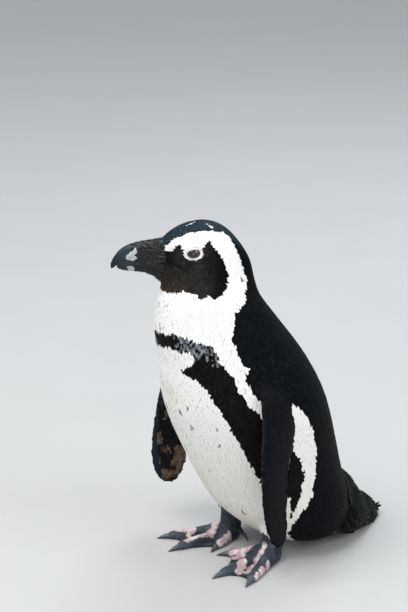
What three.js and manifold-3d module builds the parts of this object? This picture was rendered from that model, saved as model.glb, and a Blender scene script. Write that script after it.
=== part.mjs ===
// African penguin, standing at rest. Millimetres, +Z up, the bird faces -Y and its left side is +X.
// The plumage counts as part of the body, so every outline runs out to the tips of the feathers.
import * as THREE from 'three';
import { mergeVertices } from 'three/addons/utils/BufferGeometryUtils.js';
import Module from 'manifold-3d';

// ---------------------------------------------------------------- driving dimensions
const STANDING_HEIGHT = 380;    // floor to crown, neck drawn in
const BODY_RADIUS = 88;         // fullest part of the belly
const NECK_RADIUS = 53;
const HEAD_TURN = 35.5;         // the head looks this far to the bird's right, degrees
const HEAD_CENTRE = [-4, -67];  // plan position of the middle of the skull
const CULMEN = 55;              // bill beyond the feathers of the forehead
const FLIPPER_LENGTH = 184;     // shoulder to tip
const FLIPPER_WIDTH = 50;       // widest, at the elbow
const TAIL_LENGTH = 82;         // part of the tail seen behind the body
const FOOT_LENGTH = 75;         // heel to the end of the middle toe, without its claw
const STANCE = 38;              // each heel from the mid plane
const EYE_RADIUS = 8.6;
const GAP = 0.3;                // air left between neighbouring pieces

const NECK_BASE = 262;          // height where the neck meets the trunk
const HEAD_BASE = 311;          // height where the head meets the neck
const FOOT_TOP = 23;            // height where the bare foot meets the feathered leg

const RING = 36;                // points round a slice of the body
const LIMB_RING = 16;           // points round a slice of a limb
const TOE_RING = 12;            // points round a slice of a toe or claw

const COLOURS = {
  trunk: ['#e9e6df', 0.9],
  neck: ['#e4e1da', 0.9],
  head: ['#23262b', 0.85],
  bill: ['#2b2f35', 0.4],
  eye: ['#2a1512', 0.1],
  flipper: ['#1d2026', 0.7],
  tail: ['#1b1b1c', 0.85],
  leg: ['#dcd8d0', 0.9],
  foot: ['#2f2d2e', 0.6],
  claw: ['#3a3735', 0.45],
};

const LEFT = 1;
const RIGHT = -1;
const SIDES = [['left', LEFT], ['right', RIGHT]];

const wasm = await Module();
wasm.setup();
const group = new THREE.Group();

// ---------------------------------------------------------------- helpers
const radians = THREE.MathUtils.degToRad;
const lerp = THREE.MathUtils.lerp;

// A smooth curve through rows of up to three numbers; every curve with as many rows keeps in step.
function through(rows) {
  const points = rows.map(([a, b = 0, c = 0]) => new THREE.Vector3(a, b, c));
  return new THREE.CatmullRomCurve3(points, false, 'catmullrom', 0.5);
}

// A closed surface from rings of equally many points, with a flat end at each side.
function loft(rings) {
  const around = rings[0].length;
  const positions = rings.flat().flatMap((p) => [p.x, p.y, p.z]);
  const index = [];
  for (let row = 0; row + 1 < rings.length; row++) {
    for (let k = 0; k < around; k++) {
      const a = row * around + k;
      const b = row * around + ((k + 1) % around);
      index.push(a, b, b + around, a, b + around, a + around);
    }
  }
  for (const [row, turned] of [[0, true], [rings.length - 1, false]]) {
    const middle = new THREE.Vector3();
    rings[row].forEach((p) => middle.addScaledVector(p, 1 / around));
    const hub = positions.length / 3;
    positions.push(middle.x, middle.y, middle.z);
    for (let k = 0; k < around; k++) {
      const a = row * around + k;
      const b = row * around + ((k + 1) % around);
      index.push(...(turned ? [b, a, hub] : [a, b, hub]));
    }
  }
  const geometry = new THREE.BufferGeometry();
  geometry.setAttribute('position', new THREE.Float32BufferAttribute(positions, 3));
  geometry.setIndex(index);
  return geometry;
}

function solid(geometry) {
  const bare = geometry.clone();
  bare.deleteAttribute('normal');
  bare.deleteAttribute('uv');
  const merged = mergeVertices(bare, 1e-4);
  const made = new wasm.Manifold(new wasm.Mesh({
    numProp: 3,
    vertProperties: new Float32Array(merged.attributes.position.array),
    triVerts: new Uint32Array(merged.index.array),
  }));
  return made.volume() < 0 ? solid(flipped(geometry)) : made;
}

function flipped(geometry) {
  const turned = geometry.clone();
  const index = Array.from(turned.index.array);
  for (let i = 0; i < index.length; i += 3) {
    [index[i], index[i + 1]] = [index[i + 1], index[i]];
  }
  turned.setIndex(index);
  return turned;
}

function geometryOf(made) {
  const mesh = made.getMesh();
  const geometry = new THREE.BufferGeometry();
  geometry.setAttribute('position', new THREE.Float32BufferAttribute(mesh.vertProperties, 3));
  geometry.setIndex(Array.from(mesh.triVerts));
  geometry.computeVertexNormals();
  return geometry;
}

function addNode(name, kind, made) {
  const [color, roughness] = COLOURS[kind];
  const mesh = new THREE.Mesh(
    geometryOf(made),
    new THREE.MeshStandardMaterial({ color, roughness, metalness: 0 }),
  );
  mesh.name = name;
  group.add(mesh);
}

// ---------------------------------------------------------------- body, from vent to crown
// Level slices. `at` is the plan position of the slice, `side` its half width, `front` and `back`
// its reach forwards and backwards, and `turn` how far it is turned towards the bird's right.
const BODY_SLICES = [
  { z: 3, at: [0, 60], side: 20, front: 16, back: 18, turn: 0 },
  { z: 8, at: [0, 58], side: 38, front: 33, back: 32, turn: 0 },
  { z: 18, at: [0, 53], side: 56, front: 49, back: 44, turn: 0 },
  { z: 34, at: [0, 45], side: 69, front: 63, back: 60, turn: 0 },
  { z: 58, at: [0, 32], side: 78, front: 75, back: 75, turn: 0 },
  { z: 90, at: [0, 17], side: 82, front: 80, back: 79, turn: 0 },
  { z: 121, at: [0, 5], side: 85, front: 84, back: 83, turn: 0 },
  { z: 151, at: [0, -6], side: BODY_RADIUS, front: 87, back: 86, turn: 0 },
  { z: 181, at: [0, -16.5], side: BODY_RADIUS, front: 87, back: 87, turn: 0 },
  { z: 210, at: [0, -27], side: 84, front: 82.5, back: 83, turn: 0 },
  { z: 238, at: [0, -38], side: 76, front: 75, back: 76, turn: 2 },
  { z: 268, at: [-1, -52], side: 65, front: 66, back: 67, turn: 10 },
  { z: 296, at: [-2, -62], side: NECK_RADIUS, front: 53, back: 56, turn: 24 },
  { z: 312, at: [-3.5, -66], side: 39, front: 45, back: 54, turn: 33 },
  { z: 326, at: HEAD_CENTRE, side: 31, front: 42, back: 52, turn: HEAD_TURN },
  { z: 338, at: HEAD_CENTRE, side: 28, front: 41, back: 49, turn: HEAD_TURN },
  { z: 350, at: HEAD_CENTRE, side: 26, front: 43, back: 42.5, turn: HEAD_TURN },
  { z: 361, at: HEAD_CENTRE, side: 23.5, front: 42, back: 34.5, turn: HEAD_TURN },
  { z: 371, at: HEAD_CENTRE, side: 18, front: 30.5, back: 25, turn: HEAD_TURN },
  { z: 377.5, at: HEAD_CENTRE, side: 10, front: 16.5, back: 13.5, turn: HEAD_TURN },
  { z: STANDING_HEIGHT, at: HEAD_CENTRE, side: 2.5, front: 4, back: 4, turn: HEAD_TURN },
];
const BODY_AXIS = through(BODY_SLICES.map((s) => [s.at[0], s.at[1], s.z]));
const BODY_REACH = through(BODY_SLICES.map((s) => [s.side, s.front, s.back]));
const BODY_TURN = through(BODY_SLICES.map((s) => [s.turn]));

// Place along the body, 0 at the vent and 1 at the crown, whose slice lies at height z.
function bodyPlace(z) {
  let low = 0;
  let high = 1;
  for (let step = 0; step < 40; step++) {
    const middle = (low + high) / 2;
    if (BODY_AXIS.getPoint(middle).z < z) {
      low = middle;
    } else {
      high = middle;
    }
  }
  return (low + high) / 2;
}

function bodyRing(place, growth) {
  const centre = BODY_AXIS.getPoint(place);
  const reach = BODY_REACH.getPoint(place);
  const turn = radians(BODY_TURN.getPoint(place).x);
  const ring = [];
  for (let k = 0; k < RING; k++) {
    const angle = (2 * Math.PI * k) / RING;
    const ahead = ((Math.cos(angle) > 0 ? reach.y : reach.z) + growth) * Math.cos(angle);
    const aside = (reach.x + growth) * Math.sin(angle);
    ring.push(new THREE.Vector3(
      centre.x + aside * Math.cos(turn) - ahead * Math.sin(turn),
      centre.y - ahead * Math.cos(turn) - aside * Math.sin(turn),
      centre.z,
    ));
  }
  return ring;
}

function bodyPiece(bottom, top, rows, growth = 0) {
  const from = bottom === null ? 0 : bodyPlace(bottom);
  const to = top === null ? 1 : bodyPlace(top);
  const rings = [];
  for (let row = 0; row <= rows; row++) {
    rings.push(bodyRing(lerp(from, to, row / rows), growth));
  }
  return solid(loft(rings));
}

const grownTrunk = bodyPiece(null, NECK_BASE + 20, 26, GAP);
const grownHead = bodyPiece(HEAD_BASE - 10, null, 17, GAP);

// ---------------------------------------------------------------- head frame
// `ahead` runs towards the bill tip, `aside` to the bird's left, `z` is height above the floor.
function headPoint(ahead, aside, z) {
  const turn = radians(HEAD_TURN);
  return new THREE.Vector3(
    HEAD_CENTRE[0] + aside * Math.cos(turn) - ahead * Math.sin(turn),
    HEAD_CENTRE[1] - ahead * Math.cos(turn) - aside * Math.sin(turn),
    z,
  );
}

// ---------------------------------------------------------------- eyes
const EYE_AHEAD = 10;
const EYE_ASIDE = 18.6;
const EYE_HEIGHT = 349;

function eyeball(side, growth) {
  const ball = new THREE.SphereGeometry(EYE_RADIUS + growth, 14, 10);
  const centre = headPoint(EYE_AHEAD, side * EYE_ASIDE, EYE_HEIGHT);
  ball.translate(centre.x, centre.y, centre.z);
  return solid(ball);
}

// ---------------------------------------------------------------- bill
// Slices across the bill from inside the face to the hooked tip: `ahead` of the skull centre,
// `ridge` the height of the culmen, `gape` of the line between the halves, `keel` of the underside,
// and `half` the half width at the gape. The hook of the upper half closes over the lower one.
const BILL_BASE = 41;
const BILL_SLICES = [
  { ahead: BILL_BASE - 15, ridge: 364, gape: 338.5, keel: 308, half: 11.5 },
  { ahead: BILL_BASE, ridge: 361.5, gape: 338.3, keel: 311, half: 11 },
  { ahead: BILL_BASE + 0.18 * CULMEN, ridge: 359.3, gape: 337.8, keel: 318.8, half: 10 },
  { ahead: BILL_BASE + 0.36 * CULMEN, ridge: 357.6, gape: 337.2, keel: 323.6, half: 8.8 },
  { ahead: BILL_BASE + 0.52 * CULMEN, ridge: 356, gape: 336.6, keel: 324.6, half: 7.6 },
  { ahead: BILL_BASE + 0.68 * CULMEN, ridge: 353, gape: 335.6, keel: 325.2, half: 6.4 },
  { ahead: BILL_BASE + 0.8 * CULMEN, ridge: 349, gape: 334.2, keel: 326.3, half: 5.3 },
  { ahead: BILL_BASE + 0.88 * CULMEN, ridge: 344.6, gape: 332.6, keel: 328.6, half: 4.3 },
  { ahead: BILL_BASE + 0.95 * CULMEN, ridge: 339, gape: 329.2, keel: 329, half: 3.1 },
  { ahead: BILL_BASE + CULMEN, ridge: 333, gape: 328.6, keel: 328.8, half: 1.3 },
];
const LOWER_SLICES = 8;         // the lower half ends behind the hook
const BILL_STEPS = 2;           // rings from one slice to the next
const ARCH_STEPS = 8;           // steps over the arch of one slice

// One slice of a bill half: a flat edge at the gape, and an arch over or under it.
function billRing(ahead, gape, crest, half) {
  const ring = [];
  for (let k = 0; k <= ARCH_STEPS; k++) {
    const angle = (Math.PI * k) / ARCH_STEPS;
    const bulge = Math.sign(Math.cos(angle)) * Math.abs(Math.cos(angle)) ** 0.85;
    ring.push(headPoint(ahead, half * bulge, lerp(gape, crest, Math.sin(angle) ** 0.9)));
  }
  for (let k = 1; k < 4; k++) {
    ring.push(headPoint(ahead, half * lerp(-1, 1, k / 4), gape));
  }
  return ring;
}

function billHalf(slices, edge, crest) {
  const path = through(slices.map((s) => [s.ahead, s.gape + edge, s.half]));
  const crests = through(slices.map((s) => [s[crest]]));
  const steps = (slices.length - 1) * BILL_STEPS;
  const rings = [];
  for (let k = 0; k <= steps; k++) {
    const at = path.getPoint(k / steps);
    rings.push(billRing(at.x, at.y, crests.getPoint(k / steps).x, at.z));
  }
  return solid(loft(rings)).subtract(grownHead);
}

// ---------------------------------------------------------------- flippers
// Slices down the blade: `centre` of the chord for the left side, `chord` its length from the
// leading to the trailing edge, `thick` the blade, `yaw` the turn of the chord out of +Y.
const FLIPPER_TOP = 226;
const FLIPPER_SLICES = [
  { down: -0.03, centre: [62, -40], chord: 26, thick: 17, yaw: -6 },
  { down: 0.05, centre: [78, -39], chord: 34, thick: 15.5, yaw: -8 },
  { down: 0.14, centre: [87.5, -39.5], chord: 41, thick: 13.5, yaw: -8 },
  { down: 0.29, centre: [92, -38.5], chord: FLIPPER_WIDTH, thick: 11, yaw: -9 },
  { down: 0.43, centre: [93.5, -42], chord: 48.5, thick: 9.5, yaw: -11 },
  { down: 0.58, centre: [94.5, -44.5], chord: 46, thick: 8, yaw: -14 },
  { down: 0.72, centre: [95.5, -45], chord: 44, thick: 7, yaw: -17 },
  { down: 0.86, centre: [96, -42.5], chord: 39, thick: 5.8, yaw: -18 },
  { down: 0.95, centre: [96.3, -40], chord: 28, thick: 4.6, yaw: -16 },
  { down: 0.99, centre: [96.4, -38.5], chord: 16, thick: 3.4, yaw: -15 },
  { down: 1, centre: [96.4, -38], chord: 9, thick: 2.6, yaw: -15 },
];
// How much further each tip is held out and up, how much more its blade is turned, and how far
// back its shoulder, its tip and the bow between them lie.
const FLIPPER_HOLD = {
  [LEFT]: { out: 0, up: 0, turn: 0, shoulder: 0, tip: 0, bow: 0 },
  [RIGHT]: { out: 12, up: 8, turn: -19, shoulder: 8, tip: -2.5, bow: 4 },
};

// A blade slice: rounded leading edge, the back two thirds tapering to a thin trailing edge.
function flipperRing(side, centre, chord, thick, yaw) {
  const ring = [];
  for (let k = 0; k < LIMB_RING; k++) {
    const angle = (2 * Math.PI * k) / LIMB_RING;
    const along = (-Math.cos(angle) * chord) / 2;
    const taper = lerp(1, 0.45, (1 - Math.cos(angle)) / 2);
    const out = (Math.sin(angle) * thick * taper) / 2;
    ring.push(new THREE.Vector3(
      side * (centre.x + along * Math.sin(yaw) + out * Math.cos(yaw)),
      centre.y + along * Math.cos(yaw) - out * Math.sin(yaw),
      centre.z,
    ));
  }
  return ring;
}

function flipper(side) {
  const hold = FLIPPER_HOLD[side];
  const centres = through(FLIPPER_SLICES.map((s) => [
    s.centre[0] + s.down * hold.out,
    s.centre[1] + lerp(hold.shoulder, hold.tip, s.down) + hold.bow * Math.sin(Math.PI * s.down),
    FLIPPER_TOP - s.down * (FLIPPER_LENGTH - hold.up),
  ]));
  const sizes = through(FLIPPER_SLICES.map((s) => [s.chord, s.thick, s.yaw + s.down * hold.turn]));
  const rows = 16;
  const rings = [];
  for (let row = 0; row <= rows; row++) {
    const size = sizes.getPoint(row / rows);
    const centre = centres.getPoint(row / rows);
    rings.push(flipperRing(side, centre, size.x, size.y, radians(size.z)));
  }
  return solid(loft(rings)).subtract(grownTrunk);
}

// ---------------------------------------------------------------- tail
// A short stiff wedge with the feathers that cover its root, arched like a roof and laid down so
// that its side feathers touch the floor.
// `ridge` and `under` are heights of its top and of the hollow beneath, `half` its half width.
const TAIL_ROOT = 88;
const TAIL_SLICES = [
  { back: -0.2, ridge: 86, under: 12, half: 60 },
  { back: 0.18, ridge: 80, under: 5, half: 51 },
  { back: 0.42, ridge: 64, under: 2, half: 41 },
  { back: 0.52, ridge: 51.5, under: 0, half: 36 },
  { back: 0.62, ridge: 42.5, under: -1, half: 30 },
  { back: 0.8, ridge: 31, under: -1, half: 21 },
  { back: 0.92, ridge: 22, under: 2, half: 12.5 },
  { back: 1, ridge: 16, under: 6, half: 5 },
];

function tailRing(y, ridge, under, half) {
  const ring = [];
  for (let k = 0; k < LIMB_RING; k++) {
    const angle = (2 * Math.PI * k) / LIMB_RING;
    const rise = Math.sin(angle);
    const hip = lerp(under, ridge, 0.28);
    const z = rise > 0 ? lerp(hip, ridge, rise ** 1.3) : lerp(hip, under, Math.abs(rise) ** 0.6);
    ring.push(new THREE.Vector3(half * Math.cos(angle), y, z));
  }
  return ring;
}

function tail() {
  const path = through(TAIL_SLICES.map((s) => [TAIL_ROOT + s.back * TAIL_LENGTH, s.ridge, s.under]));
  const halves = through(TAIL_SLICES.map((s) => [s.half]));
  const rows = 9;
  const rings = [];
  for (let row = 0; row <= rows; row++) {
    const at = path.getPoint(row / rows);
    rings.push(tailRing(at.x, at.y, at.z, halves.getPoint(row / rows).x));
  }
  return solid(loft(rings)).subtract(grownTrunk).intersect(aboveFloor());
}

// A block from the floor up, used to lay whatever hangs lower flat on the floor.
function aboveFloor() {
  const reach = 3 * STANDING_HEIGHT;
  const block = new THREE.BoxGeometry(reach, reach, reach);
  block.translate(0, 0, reach / 2);
  return solid(block);
}

// ---------------------------------------------------------------- legs and feet
// Directions of the toes are degrees away from straight ahead, outwards positive, and lengths are shares
// of FOOT_LENGTH. The right foot is drawn in a little, with its inner toe bent.
const TOES = {
  left: [
    { name: 'inner', length: 0.67, direction: -42 },
    { name: 'middle', length: 1, direction: 4.5 },
    { name: 'outer', length: 0.96, direction: 32.5 },
  ],
  right: [
    { name: 'inner', length: 0.54, direction: -27 },
    { name: 'middle', length: 0.95, direction: 3 },
    { name: 'outer', length: 0.96, direction: 30 },
  ],
};
const HALLUX = { length: 17, direction: -100, height: 11, droop: 0.35 };
const CLAW_LENGTH = 13;
const TOE_SLICES = [
  { along: 0, half: 9.5, height: FOOT_TOP + 3 },
  { along: 0.1, half: 10, height: FOOT_TOP },
  { along: 0.24, half: 8.6, height: 18 },
  { along: 0.42, half: 7, height: 14 },
  { along: 0.66, half: 6.2, height: 11 },
  { along: 0.9, half: 5.3, height: 9 },
  { along: 1, half: 4, height: 7 },
];

function heelOf(side) {
  return new THREE.Vector2(side * STANCE, -2);
}

// Plan direction of a toe that points `degrees` outwards of straight ahead.
function heading(side, degrees) {
  return new THREE.Vector2(side * Math.sin(radians(degrees)), -Math.cos(radians(degrees)));
}

// An upright slice across a toe, flat underneath at the level `floor`.
function toeRing(at, ahead, half, height, floor = 0) {
  const ring = [];
  for (let k = 0; k < TOE_RING; k++) {
    const angle = (2 * Math.PI * k) / TOE_RING;
    const across = Math.cos(angle) * half;
    const z = floor + Math.max(0, (Math.sin(angle) * 0.62 + 0.38) * height);
    ring.push(new THREE.Vector3(at.x - ahead.y * across, at.y + ahead.x * across, z));
  }
  return ring;
}

function toe(side, direction, length) {
  const ahead = heading(side, direction);
  const sizes = through(TOE_SLICES.map((s) => [s.along, s.half, s.height]));
  const rows = 7;
  const rings = [];
  for (let row = 0; row <= rows; row++) {
    const size = sizes.getPoint(row / rows);
    const at = heelOf(side).addScaledVector(ahead, size.x * length);
    rings.push(toeRing(at, ahead, size.y, size.z));
  }
  return solid(loft(rings));
}

// The web is a thin plate; its front edge hangs back between the toe ends.
function web(side, first, second) {
  const heel = heelOf(side);
  const reach = 0.96;
  const slack = 0.88;
  const edge = [];
  const steps = 6;
  for (let k = 0; k <= steps; k++) {
    const t = k / steps;
    const sag = lerp(reach, reach * slack, Math.sin(Math.PI * t));
    const length = lerp(first.length, second.length, t ** 1.5) * sag;
    const direction = lerp(first.direction, second.direction, t);
    edge.push(heel.clone().addScaledVector(heading(side, direction), length * FOOT_LENGTH));
  }
  const shape = new THREE.Shape([heel, ...edge]);
  return solid(new THREE.ExtrudeGeometry(shape, { depth: 4, bevelEnabled: false }));
}

// The small hind toe stands off the inner side of the heel, clear of the floor.
function hallux(side) {
  const ahead = heading(side, HALLUX.direction);
  const rings = [];
  for (const [part, half, height] of [[0, 3.8, 8], [0.5, 3.6, 7], [0.85, 3.1, 6], [1, 2.3, 4.6]]) {
    const along = part * HALLUX.length;
    const at = heelOf(side).addScaledVector(ahead, along);
    rings.push(toeRing(at, ahead, half, height, HALLUX.height - along * HALLUX.droop));
  }
  return solid(loft(rings));
}

// A claw grows out of the toe end and bends down to the floor.
function claw(at, ahead, half, height, length, floor) {
  const rings = [];
  const rows = 4;
  for (let row = 0; row <= rows; row++) {
    const t = row / rows;
    const place = at.clone().addScaledVector(ahead, GAP + t * length);
    const tall = lerp(height, 0.9, t ** 1.1);
    rings.push(toeRing(place, ahead, lerp(half, 0.5, t ** 1.2), tall, floor * (1 - t)));
  }
  return solid(loft(rings));
}

function foot(side) {
  const [inner, middle, outer] = side > 0 ? TOES.left : TOES.right;
  let made = hallux(side);
  for (const t of [inner, middle, outer]) {
    made = made.add(toe(side, t.direction, t.length * FOOT_LENGTH));
  }
  made = made.add(web(side, inner, middle)).add(web(side, middle, outer));
  const lid = new THREE.BoxGeometry(400, 400, FOOT_TOP);
  lid.translate(0, 0, FOOT_TOP / 2);
  return made.intersect(solid(lid)).subtract(grownTrunk);
}

function addClaws(name, side) {
  for (const t of TOES[name]) {
    const ahead = heading(side, t.direction);
    const end = heelOf(side).addScaledVector(ahead, t.length * FOOT_LENGTH);
    addNode(`claw_${t.name}_${name}`, 'claw', claw(end, ahead, 2.9, 5.8, CLAW_LENGTH, 0));
  }
  const ahead = heading(side, HALLUX.direction);
  const end = heelOf(side).addScaledVector(ahead, HALLUX.length);
  const floor = HALLUX.height - HALLUX.length * HALLUX.droop;
  addNode(`claw_hind_${name}`, 'claw', claw(end, ahead, 1.9, 3.8, 6, floor));
}

// The feathered shank, a short cone from the belly down to the bare foot.
const LEG_SLICES = [
  { z: FOOT_TOP + GAP, at: [STANCE, -5], half: 13, deep: 14 },
  { z: 32, at: [STANCE, -3], half: 17, deep: 18 },
  { z: 46, at: [STANCE - 1, 4], half: 21, deep: 23 },
  { z: 70, at: [STANCE - 3, 16], half: 22, deep: 24 },
];

function leg(side) {
  const centres = through(LEG_SLICES.map((s) => [s.at[0], s.at[1], s.z]));
  const sizes = through(LEG_SLICES.map((s) => [s.half, s.deep]));
  const rows = 4;
  const rings = [];
  for (let row = 0; row <= rows; row++) {
    const centre = centres.getPoint(row / rows);
    const size = sizes.getPoint(row / rows);
    const ring = [];
    for (let k = 0; k < LIMB_RING; k++) {
      const angle = (2 * Math.PI * k) / LIMB_RING;
      ring.push(new THREE.Vector3(
        side * centre.x + size.x * Math.cos(angle),
        centre.y + size.y * Math.sin(angle),
        centre.z,
      ));
    }
    rings.push(ring);
  }
  return solid(loft(rings)).subtract(grownTrunk);
}

// ---------------------------------------------------------------- assembly
addNode('trunk', 'trunk', bodyPiece(null, NECK_BASE - GAP / 2, 22));
addNode('neck', 'neck', bodyPiece(NECK_BASE + GAP / 2, HEAD_BASE - GAP / 2, 5));
const skull = bodyPiece(HEAD_BASE + GAP / 2, null, 15);
addNode('head', 'head', skull.subtract(eyeball(LEFT, GAP)).subtract(eyeball(RIGHT, GAP)));
addNode('bill_upper', 'bill', billHalf(BILL_SLICES, GAP / 2, 'ridge'));
addNode('bill_lower', 'bill', billHalf(BILL_SLICES.slice(0, LOWER_SLICES), -GAP / 2, 'keel'));
addNode('tail', 'tail', tail());
for (const [name, side] of SIDES) {
  addNode(`eye_${name}`, 'eye', eyeball(side, 0));
  addNode(`flipper_${name}`, 'flipper', flipper(side));
  addNode(`leg_${name}`, 'leg', leg(side));
  addNode(`foot_${name}`, 'foot', foot(side));
  addClaws(name, side);
}

// The frame's origin is on the floor, below the middle of the whole bird.
const bounds = new THREE.Box3().setFromObject(group);
const middle = bounds.getCenter(new THREE.Vector3());
group.position.set(-middle.x, -middle.y, -bounds.min.z);

export default group;
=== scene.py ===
"""African penguin: one skin under a coat of small feathers, with bill, eyes, feet and claws.

Lengths are millimetres in the bird's own frame, whose origin is on the floor between the heels:
+Z is up, the bird faces -Y and its left side is +X. `to_row` turns them into the row's metres.
"""
import itertools
import math

import bpy
import numpy as np
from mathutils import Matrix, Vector
from mathutils.bvhtree import BVHTree


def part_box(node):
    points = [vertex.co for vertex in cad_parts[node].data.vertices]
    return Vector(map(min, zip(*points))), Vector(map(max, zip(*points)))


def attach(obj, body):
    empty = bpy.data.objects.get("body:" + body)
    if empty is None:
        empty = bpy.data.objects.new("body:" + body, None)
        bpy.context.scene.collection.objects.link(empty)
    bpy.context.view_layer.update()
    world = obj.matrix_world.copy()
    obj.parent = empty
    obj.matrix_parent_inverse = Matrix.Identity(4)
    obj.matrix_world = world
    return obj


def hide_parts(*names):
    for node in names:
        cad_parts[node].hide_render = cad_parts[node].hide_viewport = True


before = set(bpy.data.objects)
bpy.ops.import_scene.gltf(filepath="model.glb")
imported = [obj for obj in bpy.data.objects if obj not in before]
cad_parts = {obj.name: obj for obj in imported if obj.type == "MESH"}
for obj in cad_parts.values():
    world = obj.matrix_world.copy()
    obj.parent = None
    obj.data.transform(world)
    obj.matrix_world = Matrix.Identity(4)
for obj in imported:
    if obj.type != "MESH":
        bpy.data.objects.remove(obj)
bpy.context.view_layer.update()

MM = 0.001
LEFT, RIGHT = 1, -1
SIDES = (("left", LEFT), ("right", RIGHT))
rng = np.random.default_rng(7)

# ---------------------------------------------------------------- sizes shared with the CAD part
HEAD_TURN = math.radians(35.5)
HEAD_CENTRE = np.array([-4.0, -67.0])
EYE_AHEAD, EYE_ASIDE, EYE_HEIGHT, EYE_RADIUS = 10.0, 18.6, 349.0, 8.6
HEEL = np.array([38.0, -2.0])
FOOT_LENGTH = 75.0
CLAW_LENGTH = 13.0
# Each toe's name, length as a share of FOOT_LENGTH, and degrees outwards of straight ahead.
TOES = {
    "left": (("inner", 0.67, -42), ("middle", 1.0, 4.5), ("outer", 0.96, 32.5)),
    "right": (("inner", 0.54, -27), ("middle", 0.95, 3), ("outer", 0.96, 30)),
}
HALLUX_LENGTH, HALLUX_DIRECTION, HALLUX_HEIGHT, HALLUX_DROOP = 17.0, -100, 11.0, 0.35

# The leaning, turning axis of the body: height, plan position, turn towards the bird's right.
BODY_AXIS = np.array([
    (3, 0, 60, 0), (18, 0, 53, 0), (34, 0, 45, 0), (58, 0, 32, 0), (90, 0, 17, 0), (121, 0, 5, 0),
    (151, 0, -6, 0), (181, 0, -16.5, 0), (210, 0, -27, 0), (238, 0, -38, 2), (268, -1, -52, 10),
    (296, -2, -62, 24), (312, -3.5, -66, 33), (326, -4, -67, 35.5), (380, -4, -67, 35.5),
], float)

# ---------------------------------------------------------------- coat sizes
SKIN_VOXEL = 2.1
TAIL_ROOT_ROUNDS, TAIL_ROOT_FILL = 70, 1.5
FOOT_VOXEL = 1.17
SMOOTH_ROUNDS = 4       # after a remesh, to take out the steps of the voxels
SHANK_TOP = 33
SHIN_PEAK = {LEFT: 37.0, RIGHT: 47.0}       # height of the gap in the belly feathers over each shin
SHIN_GAP_DEPTH, EYE_SOCKET_DEPTH = 5.5, 5.0
# How far the skin lies inside the CAD surface, and how far the feathers stand up from it.
COAT_DEPTH = {
    "body": 1.15, "head": 0.9, "flipper": 0.6, "tail": 4.2, "shank": 3.6, "coverts": 3.4, "vent": 2.4,
}
# Least distance between the roots of two feathers.
SPACING = {"trunk": 1.95, "neck": 1.65, "crown": 1.2, "face": 1.12, "flipper": 1.6, "tail": 2.6}
VANE_LENGTH, VANE_WIDTH = 3.5, 1.7      # times the spacing

# ---------------------------------------------------------------- the eye opening
BALL_ASIDE = EYE_ASIDE - 0.9
OPENING_HALF, OPENING_TALL = 6.8, 4.3
OPENING_TILT = math.radians(4)
OPENING_BACK, OPENING_RISE = 0.6, 1.2       # from the middle of the ball


# ---------------------------------------------------------------- frames and small maths
def head_point(ahead, aside, z):
    """Places in the frame of the turned head, as rows of x, y, z."""
    ahead, aside, z = np.broadcast_arrays(*(np.asarray(a, float) for a in (ahead, aside, z)))
    cos, sin = math.cos(HEAD_TURN), math.sin(HEAD_TURN)
    return np.stack([
        HEAD_CENTRE[0] + aside * cos - ahead * sin,
        HEAD_CENTRE[1] - ahead * cos - aside * sin,
        z,
    ], -1)


EYE_BOX = np.array(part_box("eye_left")) / MM
SHIFT = EYE_BOX.mean(0) - head_point(EYE_AHEAD, EYE_ASIDE, EYE_HEIGHT)


def to_row(points):
    return (np.asarray(points, float) + SHIFT) * MM


def from_row(points):
    return np.asarray(points, float) / MM - SHIFT


def head_frame(points):
    """Ahead of, and aside to the left of, the middle of the skull."""
    dx = points[:, 0] - HEAD_CENTRE[0]
    dy = points[:, 1] - HEAD_CENTRE[1]
    cos, sin = math.cos(HEAD_TURN), math.sin(HEAD_TURN)
    return -dx * sin - dy * cos, dx * cos - dy * sin


def round_body(points):
    """Angle round the body's axis from its front, degrees, left positive."""
    z = points[:, 2]
    cx = np.interp(z, BODY_AXIS[:, 0], BODY_AXIS[:, 1])
    cy = np.interp(z, BODY_AXIS[:, 0], BODY_AXIS[:, 2])
    turn = np.radians(np.interp(z, BODY_AXIS[:, 0], BODY_AXIS[:, 3]))
    dx, dy = points[:, 0] - cx, points[:, 1] - cy
    ahead = -dx * np.sin(turn) - dy * np.cos(turn)
    aside = dx * np.cos(turn) - dy * np.sin(turn)
    return np.degrees(np.arctan2(aside, ahead))


def unit(vectors):
    return vectors / np.maximum(np.linalg.norm(vectors, axis=-1, keepdims=True), 1e-9)


def round_turn(count):
    """Even steps round a full turn, in radians."""
    return np.arange(count) * 2 * math.pi / count


def signed_power(values, power):
    """Values from -1 to 1 raised to a power, with their signs kept."""
    return np.sign(values) * np.abs(values) ** power


def along_surface(way, normals):
    """A direction at each point, laid down onto the surface there."""
    return unit(way - normals * (way * normals).sum(1, keepdims=True))


def step(low, high, values):
    t = np.clip((values - low) / (high - low), 0, 1)
    return t * t * (3 - 2 * t)


def curve(values, *pairs):
    """A polyline through (at, value) pairs, given in rising order of `at`."""
    return np.interp(values, [p[0] for p in pairs], [p[1] for p in pairs])


def lattice(ix, iy, iz, seed):
    h = ix * 374761393 + iy * 668265263 + iz * 2147483647 + seed * 1274126177
    h = (h ^ (h >> 13)) * 1274126177
    h = h ^ (h >> 16)
    return (h & 0xFFFFFF) / 0xFFFFFF


def noise(points, size, seed=0):
    """Smooth value noise from -1 to 1 with lumps about `size` across."""
    p = points / size
    cell = np.floor(p).astype(np.int64)
    f = p - cell
    f = f * f * (3 - 2 * f)
    total = np.zeros(len(p))
    for corner in itertools.product((0, 1), repeat=3):
        near = np.where(corner, f, 1 - f)
        total += near[:, 0] * near[:, 1] * near[:, 2] * lattice(*(cell + corner).T, seed)
    return total * 2 - 1


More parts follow.
